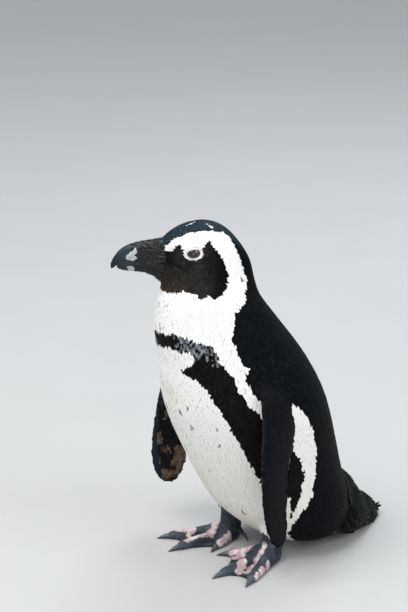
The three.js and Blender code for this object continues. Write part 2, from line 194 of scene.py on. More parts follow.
def inside(a, b, outline):
    """Which of the points (a, b) lie inside a closed outline."""
    result = np.zeros(len(a), bool)
    previous = outline[-1]
    for corner in outline:
        (x0, y0), (x1, y1) = previous, corner
        crosses = (y0 > b) != (y1 > b)
        at = (x1 - x0) * (b - y0) / ((y1 - y0) if y1 != y0 else 1e-9) + x0
        result ^= crosses & (a < at)
        previous = corner
    return result


def srgb(r, g, b):
    c = np.array([r, g, b], float) / 255
    return np.where(c <= 0.04045, c / 12.92, ((c + 0.055) / 1.055) ** 2.4)


def mix(first, second, share):
    """Two colours, or rows of colours, blended by the share of the second in each row."""
    share = np.asarray(share)[..., None]
    return first * (1 - share) + second * share


def varied(colour, low, span, shade):
    """A colour, or rows of colours, dimmed or lit in each row by a shade from 0 to 1."""
    return colour * (low + span * shade)[:, None]


# ---------------------------------------------------------------- meshes
def make_object(name, points, faces, material, colours=None, uv=None, normals=None):
    """A mesh object from points in the bird's frame and faces that all have the same corner count."""
    faces = np.asarray(faces, np.int32)
    corners = faces.shape[1]
    mesh = bpy.data.meshes.new(name)
    mesh.vertices.add(len(points))
    mesh.vertices.foreach_set("co", to_row(points).astype(np.float32).ravel())
    mesh.loops.add(faces.size)
    mesh.loops.foreach_set("vertex_index", faces.ravel())
    mesh.polygons.add(len(faces))
    mesh.polygons.foreach_set("loop_start", np.arange(0, faces.size, corners, dtype=np.int32))
    mesh.polygons.foreach_set("use_smooth", np.ones(len(faces), bool))
    mesh.update(calc_edges=True)
    if colours is not None:
        rgba = np.ones((len(colours), 4), np.float32)
        rgba[:, :3] = colours
        painted = mesh.color_attributes.new(name="Markings", type="FLOAT_COLOR", domain="POINT")
        painted.data.foreach_set("color", rgba.ravel())
    if uv is not None:
        layer = mesh.uv_layers.new(name="OFBake")
        layer.data.foreach_set("uv", uv[faces.ravel()].astype(np.float32).ravel())
    mesh.materials.append(material)
    if normals is not None:
        mesh.normals_split_custom_set_from_vertices(normals)
    made = bpy.data.objects.new(name, mesh)
    bpy.context.scene.collection.objects.link(made)
    return made


def read_mesh(mesh):
    points = np.empty(len(mesh.vertices) * 3, np.float32)
    mesh.vertices.foreach_get("co", points)
    mesh.calc_loop_triangles()
    triangles = np.empty(len(mesh.loop_triangles) * 3, np.int32)
    mesh.loop_triangles.foreach_get("vertices", triangles)
    return from_row(points.reshape(-1, 3)), triangles.reshape(-1, 3)


def vertex_normals(points, triangles):
    a, b, c = (points[triangles[:, k]] for k in range(3))
    face = np.cross(b - a, c - a)
    total = np.zeros_like(points)
    for k in range(3):
        for axis in range(3):
            total[:, axis] += np.bincount(triangles[:, k], face[:, axis], len(points))
    return unit(total)


def edges_of(triangles):
    pairs = np.concatenate([triangles[:, [0, 1]], triangles[:, [1, 2]], triangles[:, [2, 0]]])
    pairs.sort(1)
    return np.unique(pairs, axis=0)


def relax(values, edges, rounds, amount=0.5):
    """Averages values over neighbouring vertices."""
    values = np.array(values, float)
    flat = values.ndim == 1
    if flat:
        values = values[:, None]
    count = len(values)
    degree = np.bincount(edges.ravel(), minlength=count)[:, None]
    for _ in range(rounds):
        total = np.zeros_like(values)
        for axis in range(values.shape[1]):
            total[:, axis] = (
                np.bincount(edges[:, 0], values[edges[:, 1], axis], count)
                + np.bincount(edges[:, 1], values[edges[:, 0], axis], count)
            )
        values += amount * (total / np.maximum(degree, 1) - values)
    return values[:, 0] if flat else values


def grid_faces(rows, columns, wrap):
    """Four-cornered faces of a grid of points, closed round its columns where it wraps."""
    faces = []
    for r in range(rows - 1):
        for c in range(columns if wrap else columns - 1):
            a, b = r * columns + c, r * columns + (c + 1) % columns
            faces.append((a, b, b + columns, a + columns))
    return np.array(faces)


def triangulated(faces):
    return np.concatenate([faces[:, [0, 1, 2]], faces[:, [0, 2, 3]]])


def joined(parts):
    """The points and triangles of several meshes as one."""
    first = np.cumsum([0] + [len(points) for points, _ in parts])
    triangles = [triangles + start for (_, triangles), start in zip(parts, first)]
    return np.concatenate([points for points, _ in parts]), np.concatenate(triangles)


def surface_tree(points, triangles):
    return BVHTree.FromPolygons(points.tolist(), triangles.tolist())


def distances(tree, points):
    return np.array([tree.find_nearest(p)[3] for p in points.tolist()])


# ---------------------------------------------------------------- materials
class Nodes:
    """A short way to build one material's node tree."""

    def __init__(self, name):
        self.material = bpy.data.materials.new(name)
        self.material.use_nodes = True
        self.tree = self.material.node_tree
        self.shader = self.tree.nodes["Principled BSDF"]

    def add(self, kind, **settings):
        node = self.tree.nodes.new(kind)
        for key, value in settings.items():
            if key in node.inputs:
                node.inputs[key].default_value = value
            else:
                setattr(node, key, value)
        return node

    def link(self, source, target):
        self.tree.links.new(source, target)

    def set(self, **sockets):
        for key, value in sockets.items():
            self.shader.inputs[key.replace("_", " ")].default_value = value

    def noise(self, scale, detail=4.0, roughness=0.55):
        where = self.add("ShaderNodeTexCoord")
        made = self.add("ShaderNodeTexNoise", Scale=scale, Detail=detail, Roughness=roughness)
        self.link(where.outputs["Object"], made.inputs["Vector"])
        return made.outputs["Fac"]

    def spread(self, value, low, high):
        made = self.add("ShaderNodeMapRange")
        made.inputs["To Min"].default_value = low
        made.inputs["To Max"].default_value = high
        self.link(value, made.inputs["Value"])
        return made.outputs["Result"]

    def scaled(self, colour, factor):
        made = self.add("ShaderNodeVectorMath", operation="SCALE")
        self.link(colour, made.inputs[0])
        self.link(factor, made.inputs["Scale"])
        return made.outputs["Vector"]

    def bump(self, height, strength, distance):
        made = self.add("ShaderNodeBump", Strength=strength, Distance=distance)
        self.link(height, made.inputs["Height"])
        self.link(made.outputs["Normal"], self.shader.inputs["Normal"])

    def markings(self):
        made = self.add("ShaderNodeAttribute", attribute_name="Markings")
        return made.outputs["Color"]


def marked_material(name, grain, low, high, rough_low, rough_high, bump, specular):
    """Colour from the painted markings, broken up by fine grain."""
    made = Nodes(name)
    grit = made.noise(grain)
    made.link(made.scaled(made.markings(), made.spread(grit, low, high)), made.shader.inputs["Base Color"])
    made.link(made.spread(made.noise(grain * 0.5), rough_low, rough_high), made.shader.inputs["Roughness"])
    made.set(Specular_IOR_Level=specular)
    made.bump(grit, bump, 0.0004)
    return made.material


feather_material = marked_material("feathers", 900.0, 0.92, 1.08, 0.42, 0.6, 0.1, 0.03)
flipper_material = marked_material("flipper_feathers", 700.0, 0.85, 1.15, 0.36, 0.5, 0.1, 0.05)
skin_material = marked_material("skin", 500.0, 0.85, 1.15, 0.42, 0.6, 0.3, 0.35)
bill_material = marked_material("bill_horn", 420.0, 0.75, 1.2, 0.26, 0.42, 0.25, 0.3)
claw_material = marked_material("claw_horn", 600.0, 0.75, 1.25, 0.28, 0.45, 0.25, 0.5)


def eye_surface():
    made = Nodes("eye")
    made.link(
        made.scaled(made.markings(), made.spread(made.noise(800.0), 0.75, 1.25)),
        made.shader.inputs["Base Color"],
    )
    made.set(Roughness=0.12, Coat_Weight=1.0, Coat_Roughness=0.03, IOR=1.38)
    return made.material


eye_material = eye_surface()

# ---------------------------------------------------------------- markings
WHITE = srgb(239, 238, 236)
WARM_WHITE = srgb(234, 231, 221)
BACK_BLACK = srgb(12, 15, 18)
BAND_BLACK = srgb(19, 17, 15)
PEPPER_GREY = srgb(118, 124, 130)
PEPPER_SHARE = 0.6
CROWN_SLATE = srgb(36, 47, 54)
# the grey of a painted sheen over the front of the black face mask
MASK_SHEEN_GREY = srgb(36, 36, 34)
MASK_DARK = srgb(10, 10, 11)
CHIN_BROWN = srgb(58, 47, 38)
LORE_PINK = srgb(242, 236, 235)
SPOT_DARK = srgb(70, 62, 52)
STAIN_YELLOW = srgb(226, 212, 176)

# Head outlines in the plane of its profile: (ahead, height).
WHITE_BAND_EDGE = (
    (-46, 319), (-45.5, 328), (-43.8, 339), (-41.6, 347), (-33, 358), (-22, 368.5), (-8.5, 372),
    (1, 371.6), (14.5, 370), (24.5, 365.5), (32, 360.5), (37, 356), (39, 353),
)
FACE_MASK = (
    (60, 351), (39, 351), (36, 349.6), (31, 351.5), (27.7, 356.4), (22.4, 358), (19.6, 353.5),
    (18.6, 346.6), (13, 342.9), (5, 343.2), (-0.5, 348), (-0.3, 354.5), (-3, 358.2), (-6.8, 363.5),
    (-9.2, 360), (-10.4, 356.8), (-16.4, 350.6), (-21.7, 341.9), (-24.3, 333.5), (-26.4, 327.6),
    (-25.5, 320), (-24, 314), (-19.5, 309), (-12, 305), (-5.8, 309), (0, 306), (4.6, 307), (5, 310.5),
    (14.6, 310.6), (18.2, 312), (28, 309), (38.7, 307.6), (60, 304),
)
# The fold of skin that runs on from the corner of the mouth under the eye.
GAPE_FOLD = ((18, 333.5), (26, 336.8), (32, 340), (39, 339), (46, 340.5))
# Short white streaks on the crown: ahead, height, aside.
CROWN_STREAKS = (
    (14.5, 375.4, 6.2), (11.5, 376.9, 5.2), (8.0, 378.4, 3.8), (-5.5, 378.0, 8.0), (-8, 376.8, 9.6),
    (-9.5, 375.4, 11.0),
)
# Dark spots: angle round the body, height, half width, darkness.
SPOTS = (
    (12.5, 187, 1.6, 0.8), (3, 178, 1.7, 0.85), (10, 163, 1.9, 0.6), (33, 168.5, 1.7, 0.6),
    (31, 148, 1.9, 0.75), (10, 108, 1.7, 0.6), (22, 59, 1.8, 0.8), (3.5, 292.6, 1.7, 0.8),
    (22, 294.4, 1.3, 0.4), (2, 270.5, 1.4, 0.6), (152.6, 321, 1.5, 0.8), (70.6, 305.7, 1.2, 0.35),
    (-20, 176, 1.9, 0.8), (-31, 142, 2.3, 0.9), (-12, 128, 1.7, 0.7), (-38, 182, 1.8, 0.8),
    (-18, 92, 1.7, 0.7), (-25, 290, 1.4, 0.5),
)
# About how far the coat lies from the body's axis, by height.
BODY_REACH = ((0, 78), (90, 82), (180, 87), (250, 72), (300, 52), (380, 30))


def band_height(angle, z):
    """Heights for the pattern: the breast band sits a little lower on the bird's right."""
    return z + 7 * step(8, -30, angle) * step(190, 245, z) * step(300, 275, z)


def black_back(turned, z):
    """Behind the edge of the black back, which dips forwards round the shoulder."""
    edge = curve(
        z, (15, 52), (33, 52), (61, 71), (83, 88), (110, 96), (136, 103), (158, 103), (180, 101),
        (192, 94), (199, 71), (210, 67), (225, 66), (233, 70), (237, 75), (241, 71), (252, 73),
        (270, 80), (286.6, 101), (291, 108), (296.6, 122), (302, 136), (309, 148), (319, 159),
    )
    return turned > edge


def dark_band(angle, turned, z):
    """The band across the breast and down both flanks to the legs."""
    front = curve(
        z, (38, 56), (50, 60), (67, 65), (83, 68), (92, 60), (103, 51), (117, 49.5), (139, 46.5),
        (165, 44), (190, 39), (205, 35.5), (218, 29), (225, 19), (229, 13), (232, 17), (236, 25),
        (240, 30), (247, 33), (254, 33.5),
    )
    front = front + 20 * step(-8, -20, angle) * step(200, 222, z) * step(260, 250, z)
    rear = curve(
        z, (38, 53), (43, 55), (67, 68), (89, 79), (107, 85), (130, 86), (143, 81), (160, 86),
        (171, 84), (182, 69), (199, 60), (215, 56.5), (228, 58.5), (241, 52), (252, 57), (263, 56),
    )
    flank = (turned > front) & (turned < rear) & (z > 38) & (z < 262)
    upper = curve(turned, (0, 264), (15, 266), (26, 268.5), (41, 265), (56, 261))
    lower = curve(turned, (0, 250), (14, 251), (34, 250), (56, 246))
    breast = (turned < 56) & (z > lower) & (z < upper)
    return flank | breast


def thigh_strip(turned, z):
    """The thin pale strip in the dark flank, low down behind the flipper."""
    middle = curve(z, (48, 56), (62, 60), (83, 67))
    return (np.abs(turned - middle) < 2.2) & (z > 48) & (z < 84)


def pattern_place(points):
    """Angle, unsigned angle and height, with the ragged edges that feathers give a marking."""
    angle = round_body(points)
    z = band_height(angle, points[:, 2]) + 1.1 * noise(points, 6.0, 1) + 0.8 * noise(points, 2.2, 2)
    turned = np.abs(angle) + 0.9 * noise(points, 6.0, 3) + 0.7 * noise(points, 2.0, 4)
    return angle, turned, z


def paint_body(points, shade):
    height = points[:, 2]
    angle, turned, z = pattern_place(points)
    colour = mix(WHITE, WARM_WHITE, 0.85 * step(200, 40, height))
    stain = np.exp(-((angle + 4) / 7) ** 2 - ((height - 196) / 11) ** 2)
    colour = varied(mix(colour, STAIN_YELLOW, 0.5 * stain), 0.97, 0.04, shade)
    back = black_back(turned, z)
    for at, level, half, dark in SPOTS:
        reach = curve(level, *BODY_REACH)
        away = np.hypot(np.radians(angle - at) * reach / half, (height - level) / (1.7 * half))
        hit = (away < 0.75 + 0.5 * shade) & ~back
        colour[hit] = mix(colour[hit], SPOT_DARK, dark)
    band = dark_band(angle, turned, z) & ~thigh_strip(turned, z)
    pepper = step(13, 24, turned) * step(60, 52, turned) * step(236, 250, z) * step(310, 300, z)
    speck = rng.random(len(points)) < PEPPER_SHARE * pepper
    grey, black = varied(PEPPER_GREY, 0.35, 0.95, shade), varied(BAND_BLACK, 0.7, 0.6, shade)
    colour = np.where(band[:, None], np.where(speck[:, None], grey, black), colour)
    return np.where(back[:, None], varied(BACK_BLACK, 0.6, 0.75, shade), colour)


def paint_head(points, colour, shade):
    """White band, crown, mask and chin over the body's colours."""
    ahead, aside = head_frame(points)
    height = points[:, 2]
    on_head = height > 300 - 6 * noise(points, 5.0, 9)
    wobble = 0.45 * noise(points, 3.0, 5) + 0.4 * noise(points, 1.2, 6)
    at, level = ahead + wobble, height + wobble
    crown = (level > curve(at, *WHITE_BAND_EDGE)) | ((ahead < -46) & (height > 312))
    crown |= (at > 39.3) & (height > 340)
    nape = step(-28, -46, ahead)
    slate = mix(varied(CROWN_SLATE, 0.7, 0.6, shade), varied(BACK_BLACK, 0.6, 0.6, shade), nape)
    for q, z, w in CROWN_STREAKS:
        near = (np.abs(ahead - q) < 1.7) & (np.abs(np.abs(aside) - w) < 0.6) & (height > 366)
        slate[near] = WHITE * 0.75
    colour = mix(colour, LORE_PINK, step(27, 38, ahead) * (height > 335))
    colour = np.where((on_head & crown)[:, None], slate, colour)

    mask = inside(at, level, FACE_MASK) & (height > 298)
    soft = 0.5 + 0.5 * noise(points, 8.0, 7)
    # painted sheen: the mask is painted grey at the front, with lighter random feathers as painted glints,
    # and its own black at the rear
    grey = MASK_SHEEN_GREY * (0.45 + 0.5 * soft + 0.6 * shade ** 4)[:, None]
    grey = mix(grey, varied(MASK_DARK, 0.7, 0.6, shade), step(0, -20, ahead))
    near_bill = 0.8 * step(22, 40, ahead) * step(330, 342, height)
    fold = 0.9 * np.exp(-((height - curve(ahead, *GAPE_FOLD)) / 1.1) ** 2) * step(14, 19, ahead)
    grey = mix(grey, MASK_DARK, np.maximum(near_bill, fold))
    chin = 0.7 * step(328, 308, height) * step(8, 30, ahead)
    grey = mix(grey, varied(CHIN_BROWN, 0.6, 0.6, shade), chin)
    return np.where(mask[:, None], grey, colour)


HEAD_FROM = 292     # no marking of the head reaches lower


def plumage(points):
    """Colour of a feather, or of the skin, by where it shows."""
    shade = rng.random(len(points))
    colour = paint_body(points, shade)
    high = points[:, 2] > HEAD_FROM
    colour[high] = paint_head(points[high], colour[high], shade[high])
    return np.clip(colour, 0.002, 0.95)


# ---------------------------------------------------------------- bill outline
def bill_rows(name):
    """Rows of the CAD bill half clear of the head: ahead, lowest, highest, half width."""
    points, _ = read_mesh(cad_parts[name].data)
    ahead, aside = head_frame(points)
    rows = []
    for at in np.unique(np.round(ahead, 1)):
        ring = np.abs(ahead - at) < 0.06
        if ring.sum() >= 9 and at > 46:
            rows.append((at, points[ring, 2].min(), points[ring, 2].max(), np.abs(aside[ring]).max()))
    return np.array(rows)


UPPER_ROWS, LOWER_ROWS = bill_rows("bill_upper"), bill_rows("bill_lower")
# Powers that square up the round section of the bill, at its sides and at its crest.
BILL_SIDES, BILL_CREST = 0.85, 0.9


def along_bill(rows, column, reach):
    """A column of the bill's rows at any reach, run on in a straight line into the head."""
    slope = (rows[2, column] - rows[0, column]) / (rows[2, 0] - rows[0, 0])
    behind = np.minimum(reach - rows[0, 0], 0)
    return np.interp(reach, rows[:, 0], rows[:, column]) + behind * slope


def bill_core():
    """A plug inside the base of the bill, so that the skin rises onto it in a soft fillet."""
    rings, around = 9, 28
    points = []
    for reach in np.linspace(30, 50, rings):
        high = along_bill(UPPER_ROWS, 2, reach) - 0.2
        low = along_bill(LOWER_ROWS, 1, reach) + 0.2
        half = along_bill(UPPER_ROWS, 3, reach) - 0.2
        turn = round_turn(around)
        aside = half * signed_power(np.cos(turn), BILL_SIDES)
        rise = signed_power(np.sin(turn), BILL_CREST)
        points.append(head_point(reach, aside, (high + low) / 2 + (high - low) / 2 * rise))
    return capped_tube(np.concatenate(points), rings, around)


# ---------------------------------------------------------------- the skin
BODY_NODES = ("trunk", "neck", "head", "leg_left", "leg_right", "flipper_left", "flipper_right", "tail")
SWELL, FOOT_SWELL = 0.35, 0.15      # at least half the gap between two neighbouring nodes


def node_mesh(name, swell):
    """A CAD node's mesh in the bird's frame, swollen a little so that neighbours merge."""
    points, triangles = read_mesh(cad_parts[name].data)
    return points + swell * vertex_normals(points, triangles), triangles


def capped_tube(points, rings, around):
    """Triangles of a tube of rings, closed by a fan at each end."""
    faces = triangulated(grid_faces(rings, around, True))
    ends = []
    for row, order in ((0, -1), (rings - 1, 1)):
        hub = len(points)
        points = np.concatenate([points, points[row * around:(row + 1) * around].mean(0)[None]])
        for k in range(around):
            pair = (row * around + k, row * around + (k + 1) % around)[::order]
            ends.append((*pair, hub))
    return points, np.concatenate([faces, ends])


def remeshed(parts, voxel):
    """The joined outer surface of several closed meshes."""
    raw = make_object("raw", *joined(parts), skin_material)
    modifier = raw.modifiers.new("voxels", "REMESH")
    modifier.mode = "VOXEL"
    modifier.voxel_size = voxel * MM
    graph = bpy.context.evaluated_depsgraph_get()
    mesh = bpy.data.meshes.new_from_object(raw.evaluated_get(graph))
    points, triangles = read_mesh(mesh)
    bpy.data.objects.remove(raw)
    bpy.data.meshes.remove(mesh)
    return points, triangles


def closer_to(first, second, points, margin=0.2):
    """Which points lie nearer to the first CAD node than to the second."""
    first_tree = surface_tree(*node_mesh(first, 0))
    second_tree = surface_tree(*node_mesh(second, 0))
    return distances(first_tree, points) < distances(second_tree, points) - margin


def shin_notch(points):
    """How far a point lies in the gap of the belly feathers over a shin."""
    x, y, z = points.T
    across = np.abs(np.abs(x) - HEEL[0])
    peak = np.where(x > 0, SHIN_PEAK[LEFT], SHIN_PEAK[RIGHT])
    return step(0, 4, peak - 1.1 * across - z) * step(8, 0, y) * step(17, 12, across)


def part_masks(points):
    """Which skin points belong to a flipper, to the tail and to the bare shanks."""
    x, y, z = points.T
    wing, tail, shank = (np.zeros(len(points), bool) for _ in range(3))
    # Only points in a box round each node are measured.
    for name, side in SIDES:
        near = np.flatnonzero((x * side > 66) & (z > 36) & (z < 230))
        wing[near[closer_to(f"flipper_{name}", "trunk", points[near])]] = True
        low = np.flatnonzero((x * side > 8) & (z < SHANK_TOP + 2) & (y < 40))
        shank[low[closer_to(f"leg_{name}", "trunk", points[low], 0.0)]] = True
    shank |= shin_notch(points) > 0.5
    rear = np.flatnonzero((y > 62) & (z < 90))
    tail[rear[closer_to("tail", "trunk", points[rear])]] = True
    return wing, tail, shank


def opening(turn, out):
    """The almond between the lids, and outlines `out` mm outside it: ahead of and above its middle."""
    c, s = np.cos(turn), np.sin(turn)
    along = OPENING_HALF * c
    up = OPENING_TALL * signed_power(s, np.where(c > 0, 1.35, 0.72))
    way = unit(np.stack([c / OPENING_HALF, s / OPENING_TALL], -1))
    along, up = along + out * way[:, 0], up + out * way[:, 1]
    cos, sin = math.cos(OPENING_TILT), math.sin(OPENING_TILT)
    return along * cos + up * sin - OPENING_BACK, up * cos - along * sin + OPENING_RISE


def eye_gap(points):
    """About how far a point of the head is outside the eye opening, in mm."""
    ahead, aside = head_frame(points)
    a, b = ahead - EYE_AHEAD + OPENING_BACK, points[:, 2] - EYE_HEIGHT - OPENING_RISE
    reach = np.hypot(a, b)
    ratio = np.maximum(np.hypot(a / OPENING_HALF, b / OPENING_TALL), 1e-6)
    gap = reach * (1 - 1 / ratio)
    return np.where((points[:, 2] > 325) & (np.abs(aside) > 8), gap, 50.0)


def skin_depth(points, wing, tail, shank, edges):
    """How far the skin lies inside the CAD surface, so that the coat comes out to it."""
    depth = COAT_DEPTH["body"] + (COAT_DEPTH["head"] - COAT_DEPTH["body"]) * step(295, 330, points[:, 2])
    depth[wing] = COAT_DEPTH["flipper"]
    root = step(125, 95, points[tail, 1])
    depth[tail] = COAT_DEPTH["tail"] * (1 - root) + COAT_DEPTH["body"] * 1.5 * root
    depth[shank] = COAT_DEPTH["shank"]
    depth = relax(depth, edges, 5) + SHIN_GAP_DEPTH * shin_notch(points)
    return depth + SWELL + EYE_SOCKET_DEPTH * step(1.6, -0.5, eye_gap(points))


def fill_tail_root(points, triangles, edges):
    """Fills the crease where the rump meets the tail, as the feathers there bridge it."""
    lifted = relax(points, edges, TAIL_ROOT_ROUNDS) - points
    normals = vertex_normals(points, triangles)
    rise = np.maximum((lifted * normals).sum(1), 0) * TAIL_ROOT_FILL
    _, y, z = points.T
    joint = step(72, 88, y) * step(140, 118, y) * step(98, 84, z) * step(6, 16, z)
    return points + normals * relax(rise * joint, edges, 6)[:, None]


outer_points, skin_triangles = remeshed(
    [node_mesh(name, SWELL) for name in (*BODY_NODES, "eye_left", "eye_right")] + [bill_core()], SKIN_VOXEL
)
skin_edges = edges_of(skin_triangles)
outer_points = relax(outer_points, skin_edges, SMOOTH_ROUNDS)
outer_points = fill_tail_root(outer_points, skin_triangles, skin_edges)
outer_tree = surface_tree(outer_points, skin_triangles)
wing_points, tail_points, shank_points = part_masks(outer_points)
outer_normals = vertex_normals(outer_points, skin_triangles)
sunk = skin_depth(outer_points, wing_points, tail_points, shank_points, skin_edges)
skin_points = outer_points - outer_normals * sunk[:, None]
skin_normals = vertex_normals(skin_points, skin_triangles)
skin_tree = surface_tree(skin_points, skin_triangles)

# ---------------------------------------------------------------- feet and shanks
TOE_PINK = srgb(196, 168, 172)
TOE_PALE = srgb(224, 212, 212)
FOOT_SLATE = srgb(42, 50, 60)
FOOT_GREY = srgb(92, 103, 112)
SCUTE_PITCH = 3.3
SHANK_FROM, SHANK_RISE, SHANK_LEAN = 12, 34, 8
SHANK_HALF, SHANK_WAIST, SHANK_FLATNESS = 11.5, 1.8, 1.35

# Pale patches on the feet, each a streak from one place to another in the foot's own plane:
# reach from the heel, degrees outwards, the same at its other end, and half its width.
FOOT_PATCHES = {
    "left": (
        (36, -40, 47, -37, 2.8), (24, -52, 44, -24, 3.0), (50, -6, 64, 0, 2.6), (46, 6, 60, 15, 3.4),
        (14, 10, 44, 19, 1.7), (44, 19, 58, 22, 2.2), (48, 40, 54, 39, 3.2), (61, 38, 66, 38, 2.4),
        (34, 45, 40, 44, 2.0), (6, -20, 10, -60, 2.6),
    ),
    "right": (
        (54, 30, 66, 33, 2.8), (45, 27, 49, 46, 2.8), (30, 64, 42, 40, 2.4), (19, 22, 32, -2, 3.8),
        (54, 3, 61, 3, 2.8), (28, -5, 56, 3, 1.2), (20, -42, 38, -31, 1.8), (12, 142, 30, 132, 3.8),
        (50, 27, 53, 5, 2.0),
    ),
}


def toe_heading(side, degrees):
    """The plan direction of a toe, from degrees outwards of straight ahead."""
    turn = math.radians(degrees)
    return np.array([side * math.sin(turn), -math.cos(turn)])


def heel(side):
    return HEEL * np.array([side, 1])


def patch_strength(points, side, name):
    """1 inside the pale patches of a foot, 0 outside, with uneven edges."""
    place = points[:, :2] - heel(side)
    edge = 1.1 * noise(points, 4.0, 21) + 0.9 * noise(points, 1.8, 22) - 0.7
    strength = np.zeros(len(points))
    for reach, turn, far_reach, far_turn, half in FOOT_PATCHES[name]:
        first = toe_heading(side, turn) * reach
        last = toe_heading(side, far_turn) * far_reach
        along = np.clip((place - first) @ (last - first) / ((last - first) @ (last - first)), 0, 1)
        away = np.linalg.norm(place - first - along[:, None] * (last - first), axis=1)
        strength = np.maximum(strength, step(half + 0.5, half - 0.5, away + edge))
    return strength * step(1.0, 3.5, points[:, 2]) * step(26, 20, points[:, 2])


def along_toes(points, side, name):
    """Distance along the nearest toe, and how fully a point is on that toe rather than on the web."""
    place = points[:, :2] - heel(side)
    best = np.full(len(points), 1e9)
    reach = np.zeros(len(points))
    for _, share, degrees in TOES[name]:
        way = toe_heading(side, degrees)
        along = place @ way
        across = np.abs(place[:, 0] * way[1] - place[:, 1] * way[0])
        across[along > share * FOOT_LENGTH + 4] += 50
        nearer = across < best
        best[nearer], reach[nearer] = across[nearer], along[nearer]
    return reach, step(7.5, 5.0, best)


def foot_relief(points, side, name):
    """Scutes in rings across the toes, and fine folds in the webs and round the heel."""
    reach, on_toe = along_toes(points, side, name)
    phase = 2 * math.pi * (reach + 0.8 * noise(points, 5.0, 25)) / SCUTE_PITCH
    scutes = (0.5 + 0.5 * np.sin(phase)) ** 0.6 * on_toe * step(10, 20, reach)
    place = points[:, :2] - heel(side)
    spoke = np.arctan2(place[:, 0], -place[:, 1]) * 14
    far = np.linalg.norm(place, axis=1)
    folds = noise(np.stack([spoke, far * 0.25, points[:, 2] * 0.2], 1), 1.3, 26) * (1 - on_toe)
    pebbles = noise(points, 2.0, 27)
    swell = 0.35 * noise(points * [1, 1, 0.5], 8.0, 28)
    relief = 0.5 * scutes + 0.45 * folds + 0.2 * pebbles + swell
    return relief, scutes


def foot_mesh(name, side):
    """A foot and its bare shank, with their relief and colours."""
    points, triangles = remeshed([node_mesh(f"foot_{name}", FOOT_SWELL), shank(side)], FOOT_VOXEL)
    edges = edges_of(triangles)
    points = relax(points, edges, SMOOTH_ROUNDS)
    relief, scutes = foot_relief(points, side, name)
    lifted = step(1.0, 4.0, points[:, 2]) * (relief - 0.2)
    shown = points + vertex_normals(points, triangles) * lifted[:, None]
    shown[:, 2] = np.maximum(shown[:, 2], 0.0)
    # painted shading: the scute rings are painted lighter on their ridges and darker between them, on the
    # slate and the pink patches, over random grain
    shade = 0.6 + 0.75 * scutes + 0.35 * noise(points, 2.5, 23)
    reach, on_toe = along_toes(points, side, name)
    grey = 0.35 * step(0.1, 0.7, noise(points, 7.0, 29)) + 0.25 * step(50, 75, reach) * on_toe
    slate = mix(FOOT_SLATE * shade[:, None], FOOT_GREY, grey)
    pink = varied(mix(TOE_PINK, TOE_PALE, step(-0.1, 0.5, noise(points, 4.5, 24))), 0.78, 0.22, scutes)
    colours = mix(slate, pink, patch_strength(points, side, name))
    return shown, triangles, np.clip(colours, 0.003, 0.9)


def shank(side):
    """The bare shank, from the heel up inside the feathers of the leg."""
    rings, around = 10, 28
    points = []
    for k in range(rings):
        t = k / (rings - 1)
        centre = np.array([side * HEEL[0], SHANK_LEAN * t - SHANK_LEAN, SHANK_FROM + SHANK_RISE * t])
        half = SHANK_HALF - SHANK_WAIST * math.sin(math.pi * min(1.0, 1.3 * t))
        turn = round_turn(around)
        ring = np.stack([np.cos(turn), SHANK_FLATNESS * np.sin(turn), 0 * turn], 1)
        points.append(centre + half * ring)
    return capped_tube(np.concatenate(points), rings, around)


# ---------------------------------------------------------------- feathers
TRIES = 3.6     # places tried for a root on each square of the spacing


def scatter(chosen, spacing):
    """Roots at least `spacing` apart on the chosen triangles of the skin."""
    picked = skin_triangles[chosen]
    a, b, c = (skin_points[picked[:, k]] for k in range(3))
    area = np.linalg.norm(np.cross(b - a, c - a), axis=1) / 2
    total = int(TRIES * area.sum() / spacing ** 2)
    which = rng.choice(len(picked), total, p=area / area.sum())
    u, v = rng.random(total), rng.random(total)
    over = u + v > 1
    u[over], v[over] = 1 - u[over], 1 - v[over]
    spots = a[which] + u[:, None] * (b - a)[which] + v[:, None] * (c - a)[which]
    cells = np.floor(spots / spacing).astype(int)
    neighbours = [(i, j, k) for i in (-1, 0, 1) for j in (-1, 0, 1) for k in (-1, 0, 1)]
    kept, grid = [], {}
    limit = spacing ** 2
    for index, ((cx, cy, cz), (x, y, z)) in enumerate(zip(cells.tolist(), spots.tolist())):
        close = [
            p for i, j, k in neighbours for p in grid.get((cx + i, cy + j, cz + k), ())
            if (p[0] - x) ** 2 + (p[1] - y) ** 2 + (p[2] - z) ** 2 < limit
        ]
        if not close:
            grid.setdefault((cx, cy, cz), []).append((x, y, z))
            kept.append(index)
    return spots[kept]


def nearest(tree, points):
    """The nearest place on a surface to each point, and the surface's normal there."""
    where, normal = np.empty_like(points), np.empty_like(points)
    for k, p in enumerate(points.tolist()):
        spot, facing, _, _ = tree.find_nearest(p)
        where[k] = spot
        normal[k] = facing
    return where, normal


def lie_of_coat(points, zone):
    """The way the feathers point: back from the bill, down the body, out along flippers and tail."""
    count = len(points)
    if zone == "flipper":
        return np.tile(unit(np.array([0.0, 0.1, -1.0])), (count, 1))
    if zone == "tail":
        spread = points[:, 0] * 0.012
        droop = 0.55 + 1.1 * np.abs(spread) + 0.6 * step(110, 70, points[:, 1])
        return unit(np.stack([-0.6 * spread, np.ones(count), -droop], 1))
    if zone == "vent":
        return unit(np.stack([points[:, 0] * 0.005, np.full(count, 0.75), -np.ones(count)], 1))
    ahead, _ = head_frame(points)
    bill_root = head_point(50, 0, 343)
    away = unit(points - bill_root)
    behind = step(15, -40, ahead)[:, None] * 1.6
    head_way = unit(away + behind * np.array([0.3, 0.3, -1.0]))
    back_lean = 0.1 + 0.3 * step(60, 130, np.abs(round_body(points)))
    body_way = unit(np.stack([np.zeros(count), back_lean, -np.ones(count)], 1))
    rump = step(60, 105, points[:, 1]) * step(90, 35, points[:, 2])
    body_way = unit(mix(body_way, np.array([0, 1.0, -0.9]), rump))
    return unit(mix(body_way, head_way, step(285, 318, points[:, 2])))


